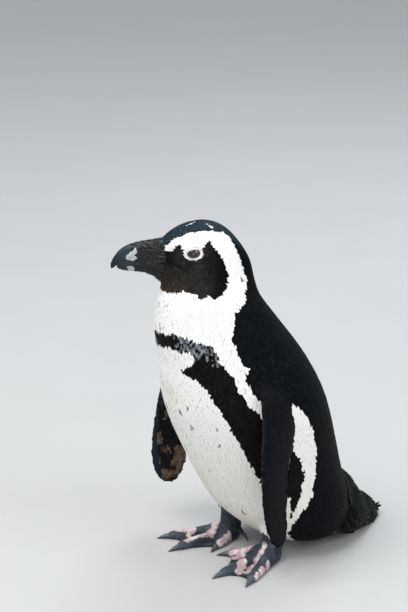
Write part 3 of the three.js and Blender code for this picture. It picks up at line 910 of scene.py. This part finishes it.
# A vane, from its root to its tip: share of its length, share of its width, share of the coat's depth.
VANE_ROWS = ((0.0, 0.4, -0.25), (0.4, 1.0, 0.78), (0.8, 0.82, 0.97), (1.0, 0.0, 1.0))
VANE_ROUNDING = 0.4     # how far the shading turns outwards at a vane's edges
VANE_SWING = 0.1        # spread in radians of the way a vane points
VANE_SAG = 0.1          # how far a vane's edges hang below its ridge, as a share of its width
VANE_POINTS = 10
VANE_FLOOR = 0.3        # least height above the floor


def vane_faces(count):
    """Triangles of closed vanes: three rows of left, ridge and right, then a tip."""
    one = []
    for row in range(2):
        a = row * 3
        for left, right in ((0, 1), (1, 2), (2, 0)):
            one += [(a + left, a + 3 + left, a + 3 + right), (a + left, a + 3 + right, a + right)]
    one += [(6, 9, 7), (7, 9, 8), (8, 9, 6), (0, 1, 2)]
    return (np.arange(count)[:, None, None] * VANE_POINTS + np.array(one)).reshape(-1, 3)


def build_vanes(roots, normals, way, length, width, depth, colours, glint, unwrap, cling=1.0):
    """Vanes that start in the skin and lie along it; returns points, faces, colours, UVs and normals."""
    count = len(roots)
    swing = rng.normal(0, VANE_SWING, count)[:, None]
    tangent = along_surface(way, normals)
    tangent = unit(tangent * np.cos(swing) + np.cross(normals, tangent) * np.sin(swing))
    length = length * (0.88 + 0.24 * rng.random(count))
    width = width * (0.9 + 0.2 * rng.random(count))
    lift = depth * (0.92 + 0.14 * rng.random(count))
    straight = roots + tangent * length[:, None]
    middle, middle_normal = nearest(skin_tree, (roots + straight) / 2)
    end, end_normal = nearest(skin_tree, straight)
    middle = middle * cling + (roots + straight) / 2 * (1 - cling)
    end = end * cling + straight * (1 - cling)
    middle_normal = unit(middle_normal * 0.6 + normals * 0.4)
    end_normal = unit(end_normal * 0.5 + middle_normal * 0.5)
    points = np.empty((count, VANE_POINTS, 3))
    paint = np.empty((count, VANE_POINTS, 3))
    uv = np.empty((count, VANE_POINTS, 2))
    shading = np.empty((count, VANE_POINTS, 3))
    for row, (s, half, rise) in enumerate(VANE_ROWS):
        first, second, third = (2 * (s - 0.5) * (s - 1), -4 * s * (s - 1), 2 * s * (s - 0.5))
        facing = unit(normals * first + middle_normal * second + end_normal * third)
        centre = roots * first + middle * second + end * third + facing * (lift * rise)[:, None]
        aside = unit(np.cross(facing, tangent))
        edge = aside * (half * width / 2)[:, None]
        sag = facing * (VANE_SAG * half * width)[:, None]
        shine = 1 + glint * step(0.6, 1.0, s)
        places = (centre,) if half == 0 else (centre - edge - sag, centre, centre + edge - sag)
        for k, spot in enumerate(places):
            points[:, row * 3 + k] = spot
            paint[:, row * 3 + k] = colours * shine[:, None]
            shading[:, row * 3 + k] = unit(facing + aside * (VANE_ROUNDING * (k - 1) * (half > 0)))
            uv[:, row * 3 + k] = unwrap + [(k - 1) * 0.0012 * (half > 0), (s - 0.5) * 0.0028]
    points = points.reshape(-1, 3)
    points[:, 2] = np.maximum(points[:, 2], VANE_FLOOR)
    return points, vane_faces(count), paint.reshape(-1, 3), uv.reshape(-1, 2), shading.reshape(-1, 3)


def body_unwrap(points):
    """A cylinder unrolled round the body's axis, run out evenly over the crown."""
    run = curve(
        points[:, 2], (0, 0), (20, 40), (60, 85), (300, 340), (350, 395), (372, 425), (380, 455)
    )
    return np.stack([(round_body(points) + 180) / 360, run / 455], 1)


def flipper_unwrap(points, side):
    """The blade's outer face beside its inner face, by chord and by height."""
    middle = curve(points[:, 2], (40, 96.3), (120, 94.5), (200, 87), (226, 76))
    outer = points[:, 0] * side > middle
    chord = np.clip((points[:, 1] + 80) / 70, 0, 1)
    return np.stack([np.where(outer, 0.02 + 0.44 * chord, 0.54 + 0.44 * chord), points[:, 2] / 230], 1)


def spread_over_map(uv):
    """The same map, drawn out to fill the unit square."""
    low, high = uv.min(0), uv.max(0)
    return 0.01 + 0.98 * (uv - low) / np.maximum(high - low, 1e-6)


OUTER_BLACK = srgb(12, 14, 18)
INNER_BLACK = srgb(17, 17, 18)
INNER_BROWN = srgb(112, 94, 80)
# a painted bluish highlight for the front edges of the flippers
LEADING_EDGE_HIGHLIGHT = srgb(27, 34, 42)
TRAILING_PALE = srgb(170, 168, 162)
TAIL_BLACK = srgb(13, 17, 18)
TAIL_BROWN = srgb(52, 50, 42)
VENT_BLACK = srgb(15, 18, 19)
VENT_BROWN = srgb(70, 64, 52)


def flipper_colours(points, normals, side):
    """Black outside, with a painted bluish highlight on the front edge and pale at the rear one; mottled
    brown inside.
    """
    height = points[:, 2]
    shade = rng.random(len(points))
    outward = normals[:, 0] * side
    blotch = noise(points * [1, 1, 0.6], 9.0, 41) + 0.5 * noise(points, 4.0, 42)
    brown = 0.8 * step(0.0, 0.3, blotch) * step(-0.3, -0.7, outward) * step(52, 58, height)
    inner = mix(varied(INNER_BLACK, 0.7, 0.6, shade), varied(INNER_BROWN, 0.5, 0.6, shade), brown)
    colour = np.where((outward > -0.3)[:, None], varied(OUTER_BLACK, 0.7, 0.6, shade), inner)
    # painted highlight: the front edge, where the surface faces forwards, is painted bluish
    lit_front_edge = (normals[:, 1] < -0.6) & (height < 190)
    colour[lit_front_edge] = varied(LEADING_EDGE_HIGHLIGHT, 0.8, 0.4, shade[lit_front_edge])
    trailing = (normals[:, 1] > 0.72) & (height < 165) & (height > 75)
    colour[trailing] = varied(TRAILING_PALE, 0.8, 0.3, shade[trailing])
    return colour


def tail_colours(points):
    """Black, browner low down, with a small pale patch on the ridge."""
    x, y, z = points.T
    shade = rng.random(len(points))
    worn = step(30, 8, z) * step(0.5, 0.9, rng.random(len(points)))
    colour = varied(mix(TAIL_BLACK, TAIL_BROWN, worn), 0.5, 0.8, shade)
    patch = np.hypot(x / 5.5, (y - 141) / 7) + 0.3 * noise(points, 3.0, 45)
    colour[(patch < 0.9) & (z > 26)] = WHITE * 0.6
    return colour


def vent_colours(points):
    """Black with some brown feathers."""
    shade = rng.random(len(points))
    brown = step(0.75, 0.95, rng.random(len(points)))
    return varied(mix(VENT_BLACK, VENT_BROWN, brown), 0.5, 0.8, shade)


LID_CLEARANCE = 2.2     # least distance of a feather's root from the eye opening
# painted highlights: the lighter tips of these dark feathers are painted glints
GLINT, GLINT_SHARE, GLINT_BELOW = 1.5, 0.16, 0.05       # some of the dark feathers have lighter tips


def grow(name, chosen, spacing, depth, colour_of, material, zone="body", parts=1, reach=1.0,
         width=1.0, cling=1.0, unwrap=body_unwrap, near_eye=False):
    """One region of the coat, as one or more pieces under the size limit."""
    roots = scatter(chosen, spacing)
    gap = eye_gap(roots)
    if near_eye:
        clear = gap > LID_CLEARANCE
        roots, gap = roots[clear], gap[clear]
    _, normals = nearest(skin_tree, roots)
    way = lie_of_coat(roots, zone)
    tangent = along_surface(way, normals)
    length = np.full(len(roots), spacing * VANE_LENGTH * reach)
    if near_eye:
        length = np.minimum(length, np.maximum(1.3, 0.95 * (gap - 0.6)))
    colours = colour_of(roots + tangent * (length * 0.75)[:, None], normals)
    glint = GLINT * (rng.random(len(roots)) < GLINT_SHARE) * (colours.max(1) < GLINT_BELOW)
    places = unwrap(roots)
    order = np.argsort(places[:, 1], kind="stable")
    for part, share in enumerate(np.array_split(order, parts)):
        built = build_vanes(
            roots[share], normals[share], way[share], length[share], spacing * VANE_WIDTH * width,
            depth, colours[share], glint[share], spread_over_map(places[share]), cling,
        )
        label = f"coat_{name}" if parts == 1 else f"coat_{name}_{part + 1}"
        made = make_object(label, built[0], built[1], material, built[2], built[3], built[4])
        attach(made, "root")


# Where the feathers stop at the bill: height, and how far ahead of the middle of the skull.
BILL_EDGE = ((300, 60), (316, 52), (322, 50), (330, 45.5), (345, 43.7), (354, 43), (362, 45.5))


def grow_coat():
    """All the pieces of the coat, region by region."""
    centres = skin_points[skin_triangles].mean(1)
    height = centres[:, 2]
    ahead, _ = head_frame(centres)
    wing, tail, shanks = (
        mask[skin_triangles].mean(1) > 0.5 for mask in (wing_points, tail_points, shank_points)
    )
    edge = curve(height, *BILL_EDGE) + 1.5 * noise(centres, 4.0, 47) + 0.9 * noise(centres, 2.2, 48)
    under = shanks | (height < 5)
    feathered = ~wing & ~tail & ~under & (ahead < edge)
    face = feathered & (height > 304) & (ahead > -30)
    crown = feathered & (height > 318) & ~face
    neck = feathered & (height > 262) & ~crown & ~face
    trunk = feathered & ~neck & ~crown & ~face
    body, head = COAT_DEPTH["body"], COAT_DEPTH["head"]
    for region, chosen, depth, parts in (
        ("trunk", trunk, body, 4), ("neck", neck, body * 0.95, 1),
        ("crown", crown, head, 1), ("face", face, head * 0.95, 2),
    ):
        grow(
            region, chosen, SPACING[region], depth, lambda seen, _: plumage(seen),
            feather_material, parts=parts, near_eye=region == "face",
        )
    for name, side in SIDES:
        blade = wing & (centres[:, 0] * side > 0)
        grow(
            f"flipper_{name}", blade, SPACING["flipper"], COAT_DEPTH["flipper"],
            lambda seen, normals: flipper_colours(seen, normals, side),
            flipper_material, zone="flipper",
            unwrap=lambda roots: flipper_unwrap(roots, side),
        )
    rump = trunk & (centres[:, 1] > 86 + 4 * noise(centres, 9.0, 49)) & (height < 88) & (height > 20)
    coverts = rump | (tail & (centres[:, 1] < 150) & (height > 8))
    grow(
        "tail_coverts", coverts, SPACING["tail"], COAT_DEPTH["coverts"],
        lambda seen, _: tail_colours(seen), feather_material,
        zone="tail", reach=1.75, width=0.8, cling=0.6,
    )
    vent = ~wing & ~shanks & (centres[:, 1] > 62) & (height < 30) & (height > 4)
    grow(
        "vent", vent, SPACING["tail"], COAT_DEPTH["vent"],
        lambda seen, _: vent_colours(seen), feather_material,
        zone="vent", reach=1.8, width=0.75, cling=0.35,
    )


# ---------------------------------------------------------------- tail feathers
TAIL_LAYERS = 3
TAIL_FEATHERS = 15      # in each layer
FAN_FLOOR = 0.2         # least height above the floor
STIFF_BLACK = srgb(20, 24, 25)
SHAFT_ROWS = 12
# Section of a stiff feather, over its ridge and back under it: share of the half width, and rise.
SHAFT_PROFILE = ((-1, 0), (-0.45, 0.4), (0, 0.8), (0.45, 0.4), (1, 0), (0, -0.35))


def stiff_feather(root, tip, normal, width, shade, bow):
    """One long stiff tail feather: a closed blade with a ridge along its shaft, bowed outwards."""
    points, paint = [], []
    along = tip - root
    side = unit(np.cross(normal, along))
    for k in range(SHAFT_ROWS):
        t = k / (SHAFT_ROWS - 1)
        taper = math.sqrt(max(0.012, 1 - max(0.0, (t - 0.6) / 0.4) ** 1.8))
        half = width / 2 * min(1.0, 0.5 + 1.2 * t) * taper
        centre = root + along * t + normal * (bow * math.sin(math.pi * t))
        for across, rise in SHAFT_PROFILE:
            points.append(centre + side * half * across + normal * rise * taper)
            lit = 0.75 if abs(across) == 1 else 1.3 if across == 0 else 1.0
            paint.append(shade * lit * (0.8 + 0.4 * t))
    around = len(SHAFT_PROFILE)
    last = (SHAFT_ROWS - 1) * around
    ends = [(0, j, j + 1) for j in range(1, around - 1)]
    ends += [(last, last + j + 1, last + j) for j in range(1, around - 1)]
    walls = triangulated(grid_faces(SHAFT_ROWS, around, True))
    return np.array(points), np.concatenate([walls[:, ::-1], ends]), np.array(paint)


def tail_fan():
    """Three layers of stiff feathers, laid like a roof from the rump to the floor."""
    feathers, paint, uv = [], [], []
    for layer in range(TAIL_LAYERS):
        for k in range(TAIL_FEATHERS):
            across = (k / (TAIL_FEATHERS - 1)) * 2 - 1 + rng.normal(0, 0.03)
            spread = abs(across)
            # The roots lie on an arch over the rump, the tips on a flatter one near the floor.
            root = np.array([across * 30, 92 - 2 * layer, 60 - 40 * spread ** 1.6 - 5 * layer])
            tip = np.array([
                across * (20 + 5 * layer) + rng.normal(0, 0.8),
                170.5 - 32 * spread ** 1.5 - 11 * layer + rng.normal(0, 1.8),
                16 - 13 * spread ** 1.2 - 4 * layer + rng.normal(0, 0.8),
            ])
            tip[2] = max(tip[2], 1.2)
            normal = unit(np.array([across * 1.1, 0.35, 1.0]))
            shade = STIFF_BLACK * (0.5 + 0.8 * rng.random())
            width, bow = 8.5 - 2.5 * spread, 3.0 - 1.5 * layer
            made = stiff_feather(root, tip, normal, width, shade, bow)
            feathers.append(made[:2])
            paint.append(made[2])
            along, over = np.meshgrid(
                np.linspace(-1, 1, SHAFT_ROWS), np.linspace(-1, 1, len(SHAFT_PROFILE)), indexing="ij"
            )
            patch = 0.0015 * np.stack([over.ravel(), along.ravel()], 1)
            uv.append(patch + [0.5 + 0.4 * across, 0.2 + 0.25 * layer])
    points, faces = joined(feathers)
    points[:, 2] = np.maximum(points[:, 2], FAN_FLOOR)
    made = make_object(
        "tail_feathers", points, faces, feather_material,
        np.clip(np.concatenate(paint), 0.002, 0.9), np.concatenate(uv),
    )
    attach(made, "root")


# ---------------------------------------------------------------- eyes and lids
PUPIL_BLACK = srgb(9, 6, 6)
IRIS_BROWN = srgb(34, 16, 15)
IRIS_RED_HIGHLIGHT = srgb(70, 34, 40)
PUPIL_EDGE = (2.7, 3.2)     # from the middle of the pupil, over the ball
CORNEA_BULGE = 0.025
LID_DARK = srgb(26, 20, 20)
LID_PALE = srgb(222, 214, 213)


def eye(name, side):
    """A whole ball that bulges at the pupil, with a dark iris and a painted reddish highlight at its upper
    back edge.
    """
    rows, columns = 48, 72
    centre = head_point(EYE_AHEAD, side * BALL_ASIDE, EYE_HEIGHT)
    out = unit(head_point(EYE_AHEAD + 0.8, side * 30.0, EYE_HEIGHT + 0.4) - centre)
    forward = head_point(1, 0, 0) - head_point(0, 0, 0)
    forward = unit(forward - out * (forward @ out))
    up = np.cross(out, forward)
    up = up if up[2] > 0 else -up
    polar = np.linspace(0.0001, math.pi - 0.0001, rows)
    turn = round_turn(columns)
    p, q = (grid.ravel() for grid in np.meshgrid(polar, turn, indexing="ij"))
    bulge = 1 + CORNEA_BULGE * np.exp(-(p / 0.42) ** 2)
    reach = np.cos(p)[:, None] * out + np.sin(p)[:, None] * (
        np.cos(q)[:, None] * forward + np.sin(q)[:, None] * up
    )
    points = centre + (EYE_RADIUS - 0.1) * bulge[:, None] * reach
    from_pole = p * EYE_RADIUS
    streaks = varied(IRIS_BROWN, 0.8, 0.3, np.sin(q * 23) * np.sin(q * 9 + 1))
    colours = mix(PUPIL_BLACK, streaks, step(*PUPIL_EDGE, from_pole))
    # painted highlight: the iris's reddish edge is painted only at its upper back
    rim = step(4.6, 6.6, from_pole) * step(0.3, -0.5, np.cos(q)) * step(-0.2, 0.3, np.sin(q))
    colours = mix(colours, IRIS_RED_HIGHLIGHT, rim)
    faces = grid_faces(rows, columns, True)
    faces = faces[:, ::-1] if side < 0 else faces
    made = make_object(f"eyeball_{name}", points, faces, eye_material, colours)
    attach(made, "root")
    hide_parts(f"eye_{name}")


# Rows of the lids' rim from under the ball's surface outwards: mm outside the opening,
# how far it follows the head instead of the ball, and height above what it follows.
LID_ROWS = (
    (-0.9, 0, -0.6), (-0.45, 0, 0.0), (-0.15, 0, 0.35), (0.2, 0, 0.6), (0.6, 0, 0.7), (1.1, 0.15, 0.55),
    (1.6, 0.5, 0.15), (2.3, 0.9, -0.45), (3.4, 1, -1.7), (4.6, 1, -3.3),
)


def lid_ring(side):
    """The rim of the lids: an almond opening on the ball, rolled out under the feathers."""
    around = 120
    way = unit(head_point(0, side, 0) - head_point(0, 0, 0))
    turn = round_turn(around)
    points, colours = [], []
    for out, headward, lift in LID_ROWS:
        a, b = opening(turn, out)
        ahead, height = EYE_AHEAD + a, EYE_HEIGHT + b
        ball = BALL_ASIDE + np.sqrt(np.maximum((EYE_RADIUS + lift) ** 2 - a ** 2 - b ** 2, 1.0))
        head = np.empty(around)
        for k in range(around):
            start = head_point(ahead[k], side * 60.0, height[k])
            head[k] = 60.0 - outer_tree.ray_cast(Vector(start), Vector(-way))[3] + lift
        points.append(head_point(ahead, side * (ball * (1 - headward) + head * headward), height))
        pale = step(-0.15, 0.3, out) * (0.86 + 0.14 * np.sin(turn * 31) * np.sin(turn * 13))
        pale = pale * (1 - 0.95 * step(1.7, 2.4, out) * step(0.45, -0.1, np.sin(turn)))
        colours.append(mix(LID_DARK, LID_PALE, pale))
    points, colours = np.concatenate(points), np.concatenate(colours)
    faces = grid_faces(len(LID_ROWS), around, True)
    faces = faces[:, ::-1] if side > 0 else faces
    return points, triangulated(faces), colours


# ---------------------------------------------------------------- the one skin
UNDER_TAIL = srgb(14, 16, 17)


def join_skin():
    """The painted skin of the whole bird, joined with its feet and the rims of its lids."""
    colours = plumage(skin_points)
    for side in (LEFT, RIGHT):
        on_wing = wing_points & (skin_points[:, 0] * side > 0)
        colours[on_wing] = flipper_colours(skin_points[on_wing], skin_normals[on_wing], side) * 0.9
    colours[tail_points] = UNDER_TAIL
    colours[shank_points] = FOOT_SLATE * (1 + 0.3 * noise(skin_points[shank_points], 3.0, 52))[:, None]
    parts = [(skin_points, skin_triangles, colours)]
    for name, side in SIDES:
        parts += [foot_mesh(name, side), lid_ring(side)]
    points, triangles = joined([part[:2] for part in parts])
    made = make_object(
        "skin", points, triangles, skin_material, np.concatenate([paint for _, _, paint in parts])
    )
    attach(made, "root")
    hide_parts(*BODY_NODES, "foot_left", "foot_right")


# ---------------------------------------------------------------- bill
BILL_STEPS, BILL_ARCH = 190, 170
BILL_FROM = 32.0
SMOOTH_HORN = 77.0      # the bill is wrinkled behind this reach and smooth in front of it
NOSTRIL_AHEAD, NOSTRIL_HEIGHT, NOSTRIL_DEPTH = 60, 345, 0.8
HORN_BLACK = srgb(16, 20, 25)
HORN_SHEEN = srgb(76, 90, 104)
HORN_SLATE = srgb(40, 52, 61)
HORN_EDGE = srgb(26, 30, 34)
HORN_HOOK = srgb(14, 14, 15)
UPPER_PALE = srgb(182, 189, 190)
LOWER_PALE = UPPER_PALE * [1.0, 0.96, 0.93]
# Outlines of the pale patches, in the plane of the head's profile: (ahead, height).
UPPER_PATCH = (
    (69, 352), (73.5, 348.5), (79.5, 342), (79.5, 339.5), (74, 338), (67.5, 339.6), (69.5, 342.5),
    (71.5, 344), (68.5, 346.5),
)
LOWER_PATCH = ((78.5, 331), (73, 332), (70.5, 329), (71.5, 322), (77, 322))


def horn_relief(reach, z, side, points):
    """Wavy lengthwise ridges and the grooves between them, in mm."""
    warp = 1.5 * noise(points, 6.0, 61) + 0.7 * noise(points, 2.5, 66)
    flow = np.stack([reach * 0.3 - 0.3 * z, z * 1.1 + warp, side * 40], 1)
    wide = np.exp(-(noise(flow, 2.1, 62) / 0.22) ** 2)
    fine = np.exp(-(noise(flow * 2.0, 2.2, 63) / 0.25) ** 2)
    return 0.62 - 0.95 * wide - 0.35 * fine + 0.3 * noise(points, 3.0, 64)


def bill_half(name, upper):
    """One half of the bill: an arch swept along the CAD half, closed at the gape and both ends."""
    rows = UPPER_ROWS if upper else LOWER_ROWS
    span = np.linspace(BILL_FROM, rows[-1, 0], BILL_STEPS)
    row, arch = (grid.ravel() for grid in np.meshgrid(
        np.arange(BILL_STEPS), np.linspace(0, math.pi, BILL_ARCH), indexing="ij"))
    reach = span[row]
    gape = along_bill(rows, 1 if upper else 2, reach) + (-0.35 if upper else 1.0)
    crest = along_bill(rows, 2 if upper else 1, reach)
    tuck = 1.0 if upper else 0.84 + 0.16 * step(0.0, 0.25, np.sin(arch))
    half = along_bill(rows, 3, reach) * tuck
    aside = half * signed_power(np.cos(arch), BILL_SIDES)
    z = gape + (crest - gape) * np.sin(arch) ** BILL_CREST
    points = head_point(reach, aside, z)
    wrinkled = step(SMOOTH_HORN + 3, SMOOTH_HORN - 6, reach + 2 * noise(points, 4.0, 67))
    relief = horn_relief(reach, z, np.sign(np.cos(arch)), points)
    push = wrinkled * (0.65 * relief - 0.15) + (1 - wrinkled) * 0.08 * noise(points, 4.0, 68)
    slit = ((reach - NOSTRIL_AHEAD) / 2.6) ** 2 + ((z - NOSTRIL_HEIGHT) / 0.6) ** 2
    push = push - NOSTRIL_DEPTH * np.exp(-slit) * upper
    push = push * step(0.0, 0.12, np.sin(arch))
    upward = 1 if upper else -1
    outward = head_point(0, np.cos(arch) * push, np.sin(arch) * push * upward) - head_point(0, 0, 0)
    colours = bill_colours(reach, z, wrinkled, relief, upper, points)
    faces = grid_faces(BILL_STEPS, BILL_ARCH, False)
    edge = np.arange(BILL_STEPS - 1) * BILL_ARCH
    inner = np.stack([edge, edge + BILL_ARCH, edge + 2 * BILL_ARCH - 1, edge + BILL_ARCH - 1], 1)
    faces = triangulated(np.concatenate([faces, inner[:, ::-1]]))
    last = (BILL_STEPS - 1) * BILL_ARCH
    ring = np.arange(1, BILL_ARCH - 1)
    back = np.stack([0 * ring, ring + 1, ring], 1)
    front = np.stack([0 * ring + last, ring + last, ring + last + 1], 1)
    faces = np.concatenate([faces, back[:, ::-1], front[:, ::-1]])
    faces = faces[:, ::-1] if upper else faces
    made = make_object(f"horn_{name}", points + outward, faces, bill_material, colours)
    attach(made, "root")
    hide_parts(name)


def bill_colours(reach, z, wrinkled, relief, upper, points):
    """Wrinkled horn behind, smooth slate in front, and a pale patch on each half."""
    lit = np.clip(relief, 0, 1)
    rough = varied(HORN_BLACK, 0.2, 1.1, lit) + varied(HORN_SHEEN, 0, 0.25, step(0.75, 1.0, lit))
    smooth = varied(HORN_SLATE, 0.8, 0.35, noise(points * [1, 1, 2.0], 3.0, 69))
    smooth = mix(smooth, HORN_EDGE, 0.6 * step(343, 335, z) if upper else 0.45)
    smooth = mix(smooth, HORN_HOOK, (0.85 if upper else 0.5) * step(88, 94.5, reach))
    colour = mix(smooth, rough, wrinkled)
    drift = 0.8 * noise(points, 2.2, 70)
    patch = inside(reach + drift, z + drift, UPPER_PATCH if upper else LOWER_PATCH)
    pale = varied(UPPER_PALE if upper else LOWER_PALE, 0.85, 0.22, noise(points, 1.8, 71))
    colour = np.where(patch[:, None], pale, colour)
    return np.clip(colour, 0.003, 0.9)


# ---------------------------------------------------------------- claws
CLAW_DARK = srgb(40, 46, 52)
# a paler colour painted on the tops of the claws as a highlight
CLAW_TOP_HIGHLIGHT = srgb(86, 96, 102)
# Half width, height and length at the root of a claw.
TOE_CLAW = (2.9, 5.8, CLAW_LENGTH)
HIND_CLAW = (1.9, 3.8, 6.0)


def claw(name, start, heading, floor, half, height, length):
    """A curved horn that comes out of the toe and bends down to the floor."""
    rows, around = 24, 24
    points, colours = [], []
    across = np.array([-heading[1], heading[0], 0.0])
    forward = np.array([heading[0], heading[1], 0.0])
    for k in range(rows):
        t = -0.28 + 1.28 * k / (rows - 1)
        s = max(t, 0.0)
        wide = half * 1.15 * (1 - 0.9 * s ** 1.3)
        tall = (height * (1 - s ** 1.3) + 0.7 * s) / 2
        centre = np.array([*start, 0.0]) + forward * (t * length)
        centre[2] = floor * (1 - s) + 0.1 + tall + 0.7 * math.sin(math.pi * s) * (1 - s)
        turn = round_turn(around)[:, None]
        points.append(centre + across * wide * np.cos(turn) + np.array([0, 0, tall]) * np.sin(turn))
        # painted highlight: each claw is painted paler on top than underneath
        base = mix(CLAW_DARK, CLAW_TOP_HIGHLIGHT, 0.5 + 0.5 * np.sin(turn[:, 0]))
        colours.append(base * (1 - 0.55 * s ** 2) * (0.9 + 0.12 * np.sin(5 * turn + 9 * s)))
    points, faces = capped_tube(np.concatenate(points), rows, around)
    colours = np.concatenate([*colours, colours[0][:1], colours[-1][-1:]])
    made = make_object(f"horn_{name}", points, faces, claw_material, colours)
    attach(made, "root")
    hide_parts(name)


def build_claws():
    for name, side in SIDES:
        for toe, share, degrees in TOES[name]:
            way = toe_heading(side, degrees)
            start = heel(side) + way * share * FOOT_LENGTH
            claw(f"claw_{toe}_{name}", start, way, 0.0, *TOE_CLAW)
        way = toe_heading(side, HALLUX_DIRECTION)
        hind_floor = HALLUX_HEIGHT - HALLUX_LENGTH * HALLUX_DROOP
        claw(f"claw_hind_{name}", heel(side) + way * HALLUX_LENGTH, way, hind_floor, *HIND_CLAW)


# ---------------------------------------------------------------- floor, light and camera
FLOOR_REACH = 8.0       # metres


def build_stage():
    made = Nodes("floor")
    made.link(made.spread(made.noise(6.0), 0.47, 0.51), made.shader.inputs["Base Color"])
    made.set(Roughness=0.85)
    mesh = bpy.data.meshes.new("floor")
    corners = [(x * FLOOR_REACH, y * FLOOR_REACH, 0) for x, y in ((-1, -1), (1, -1), (1, 1), (-1, 1))]
    mesh.from_pydata(corners, [], [(0, 1, 2, 3)])
    mesh.materials.append(made.material)
    floor = bpy.data.objects.new("floor", mesh)
    bpy.context.scene.collection.objects.link(floor)


def area_light(name, azimuth, elevation, distance, size, power, colour):
    """A soft round light that looks at the bird."""
    light = bpy.data.lights.new(name, "AREA")
    light.shape = "DISK"
    light.size = size
    light.energy = power
    light.color = colour
    made = bpy.data.objects.new(name, light)
    a, e = math.radians(azimuth), math.radians(elevation)
    way = Vector((math.sin(a) * math.cos(e), -math.cos(a) * math.cos(e), math.sin(e)))
    made.location = Vector((0, 0, LIT_AT)) + way * distance
    made.rotation_euler = (-way).to_track_quat("-Z", "Y").to_euler()
    bpy.context.scene.collection.objects.link(made)


# Name, azimuth and elevation in degrees, distance and size in metres, watts and colour of each light.
LIGHTS = (
    ("key", 10, 60, 2.4, 1.6, 45, (1.0, 0.99, 0.97)),
    ("low", 62, 6, 2.4, 1.6, 10, (1.0, 0.99, 0.97)),
    ("side", 110, 35, 2.6, 1.4, 16, (0.9, 0.95, 1.0)),
    ("back", 215, 50, 2.4, 1.4, 22, (0.92, 0.96, 1.0)),
)
LIT_AT = 0.2        # height in metres of the spot the lights look at
SKY_COLOUR, SKY_STRENGTH = (0.93, 0.97, 1.0, 1), 0.68


def build_light():
    for light in LIGHTS:
        area_light(*light)
    world = bpy.data.worlds.new("studio")
    world.use_nodes = True
    background = world.node_tree.nodes["Background"]
    background.inputs["Color"].default_value = SKY_COLOUR
    background.inputs["Strength"].default_value = SKY_STRENGTH
    bpy.context.scene.world = world
    bpy.context.scene.view_settings.view_transform = "Standard"


# The photo's camera: its height and focal length in pixels, a sensor width, its place and its aim.
PHOTO_HEIGHT, FOCAL_PIXELS, SENSOR = 612, 2261.0, 36.0
CAMERA_AT = np.array([1846.9, -1366.7, 975.3])
CAMERA_AIM = np.array([-118.1, 14.6, 244.1])


def build_camera():
    camera = bpy.data.cameras.new("camera")
    camera.lens = FOCAL_PIXELS / PHOTO_HEIGHT * SENSOR
    camera.sensor_width = SENSOR
    camera.sensor_fit = "AUTO"
    camera.clip_end = 20
    made = bpy.data.objects.new("camera", camera)
    made.location = Vector(to_row(CAMERA_AT))
    way = Vector(to_row(CAMERA_AIM)) - Vector(to_row(CAMERA_AT))
    made.rotation_euler = way.to_track_quat("-Z", "Y").to_euler()
    bpy.context.scene.collection.objects.link(made)
    bpy.context.scene.camera = made


grow_coat()
tail_fan()
for name, side in SIDES:
    eye(name, side)
join_skin()
bill_half("bill_upper", True)
bill_half("bill_lower", False)
build_claws()
build_stage()
build_light()
build_camera()
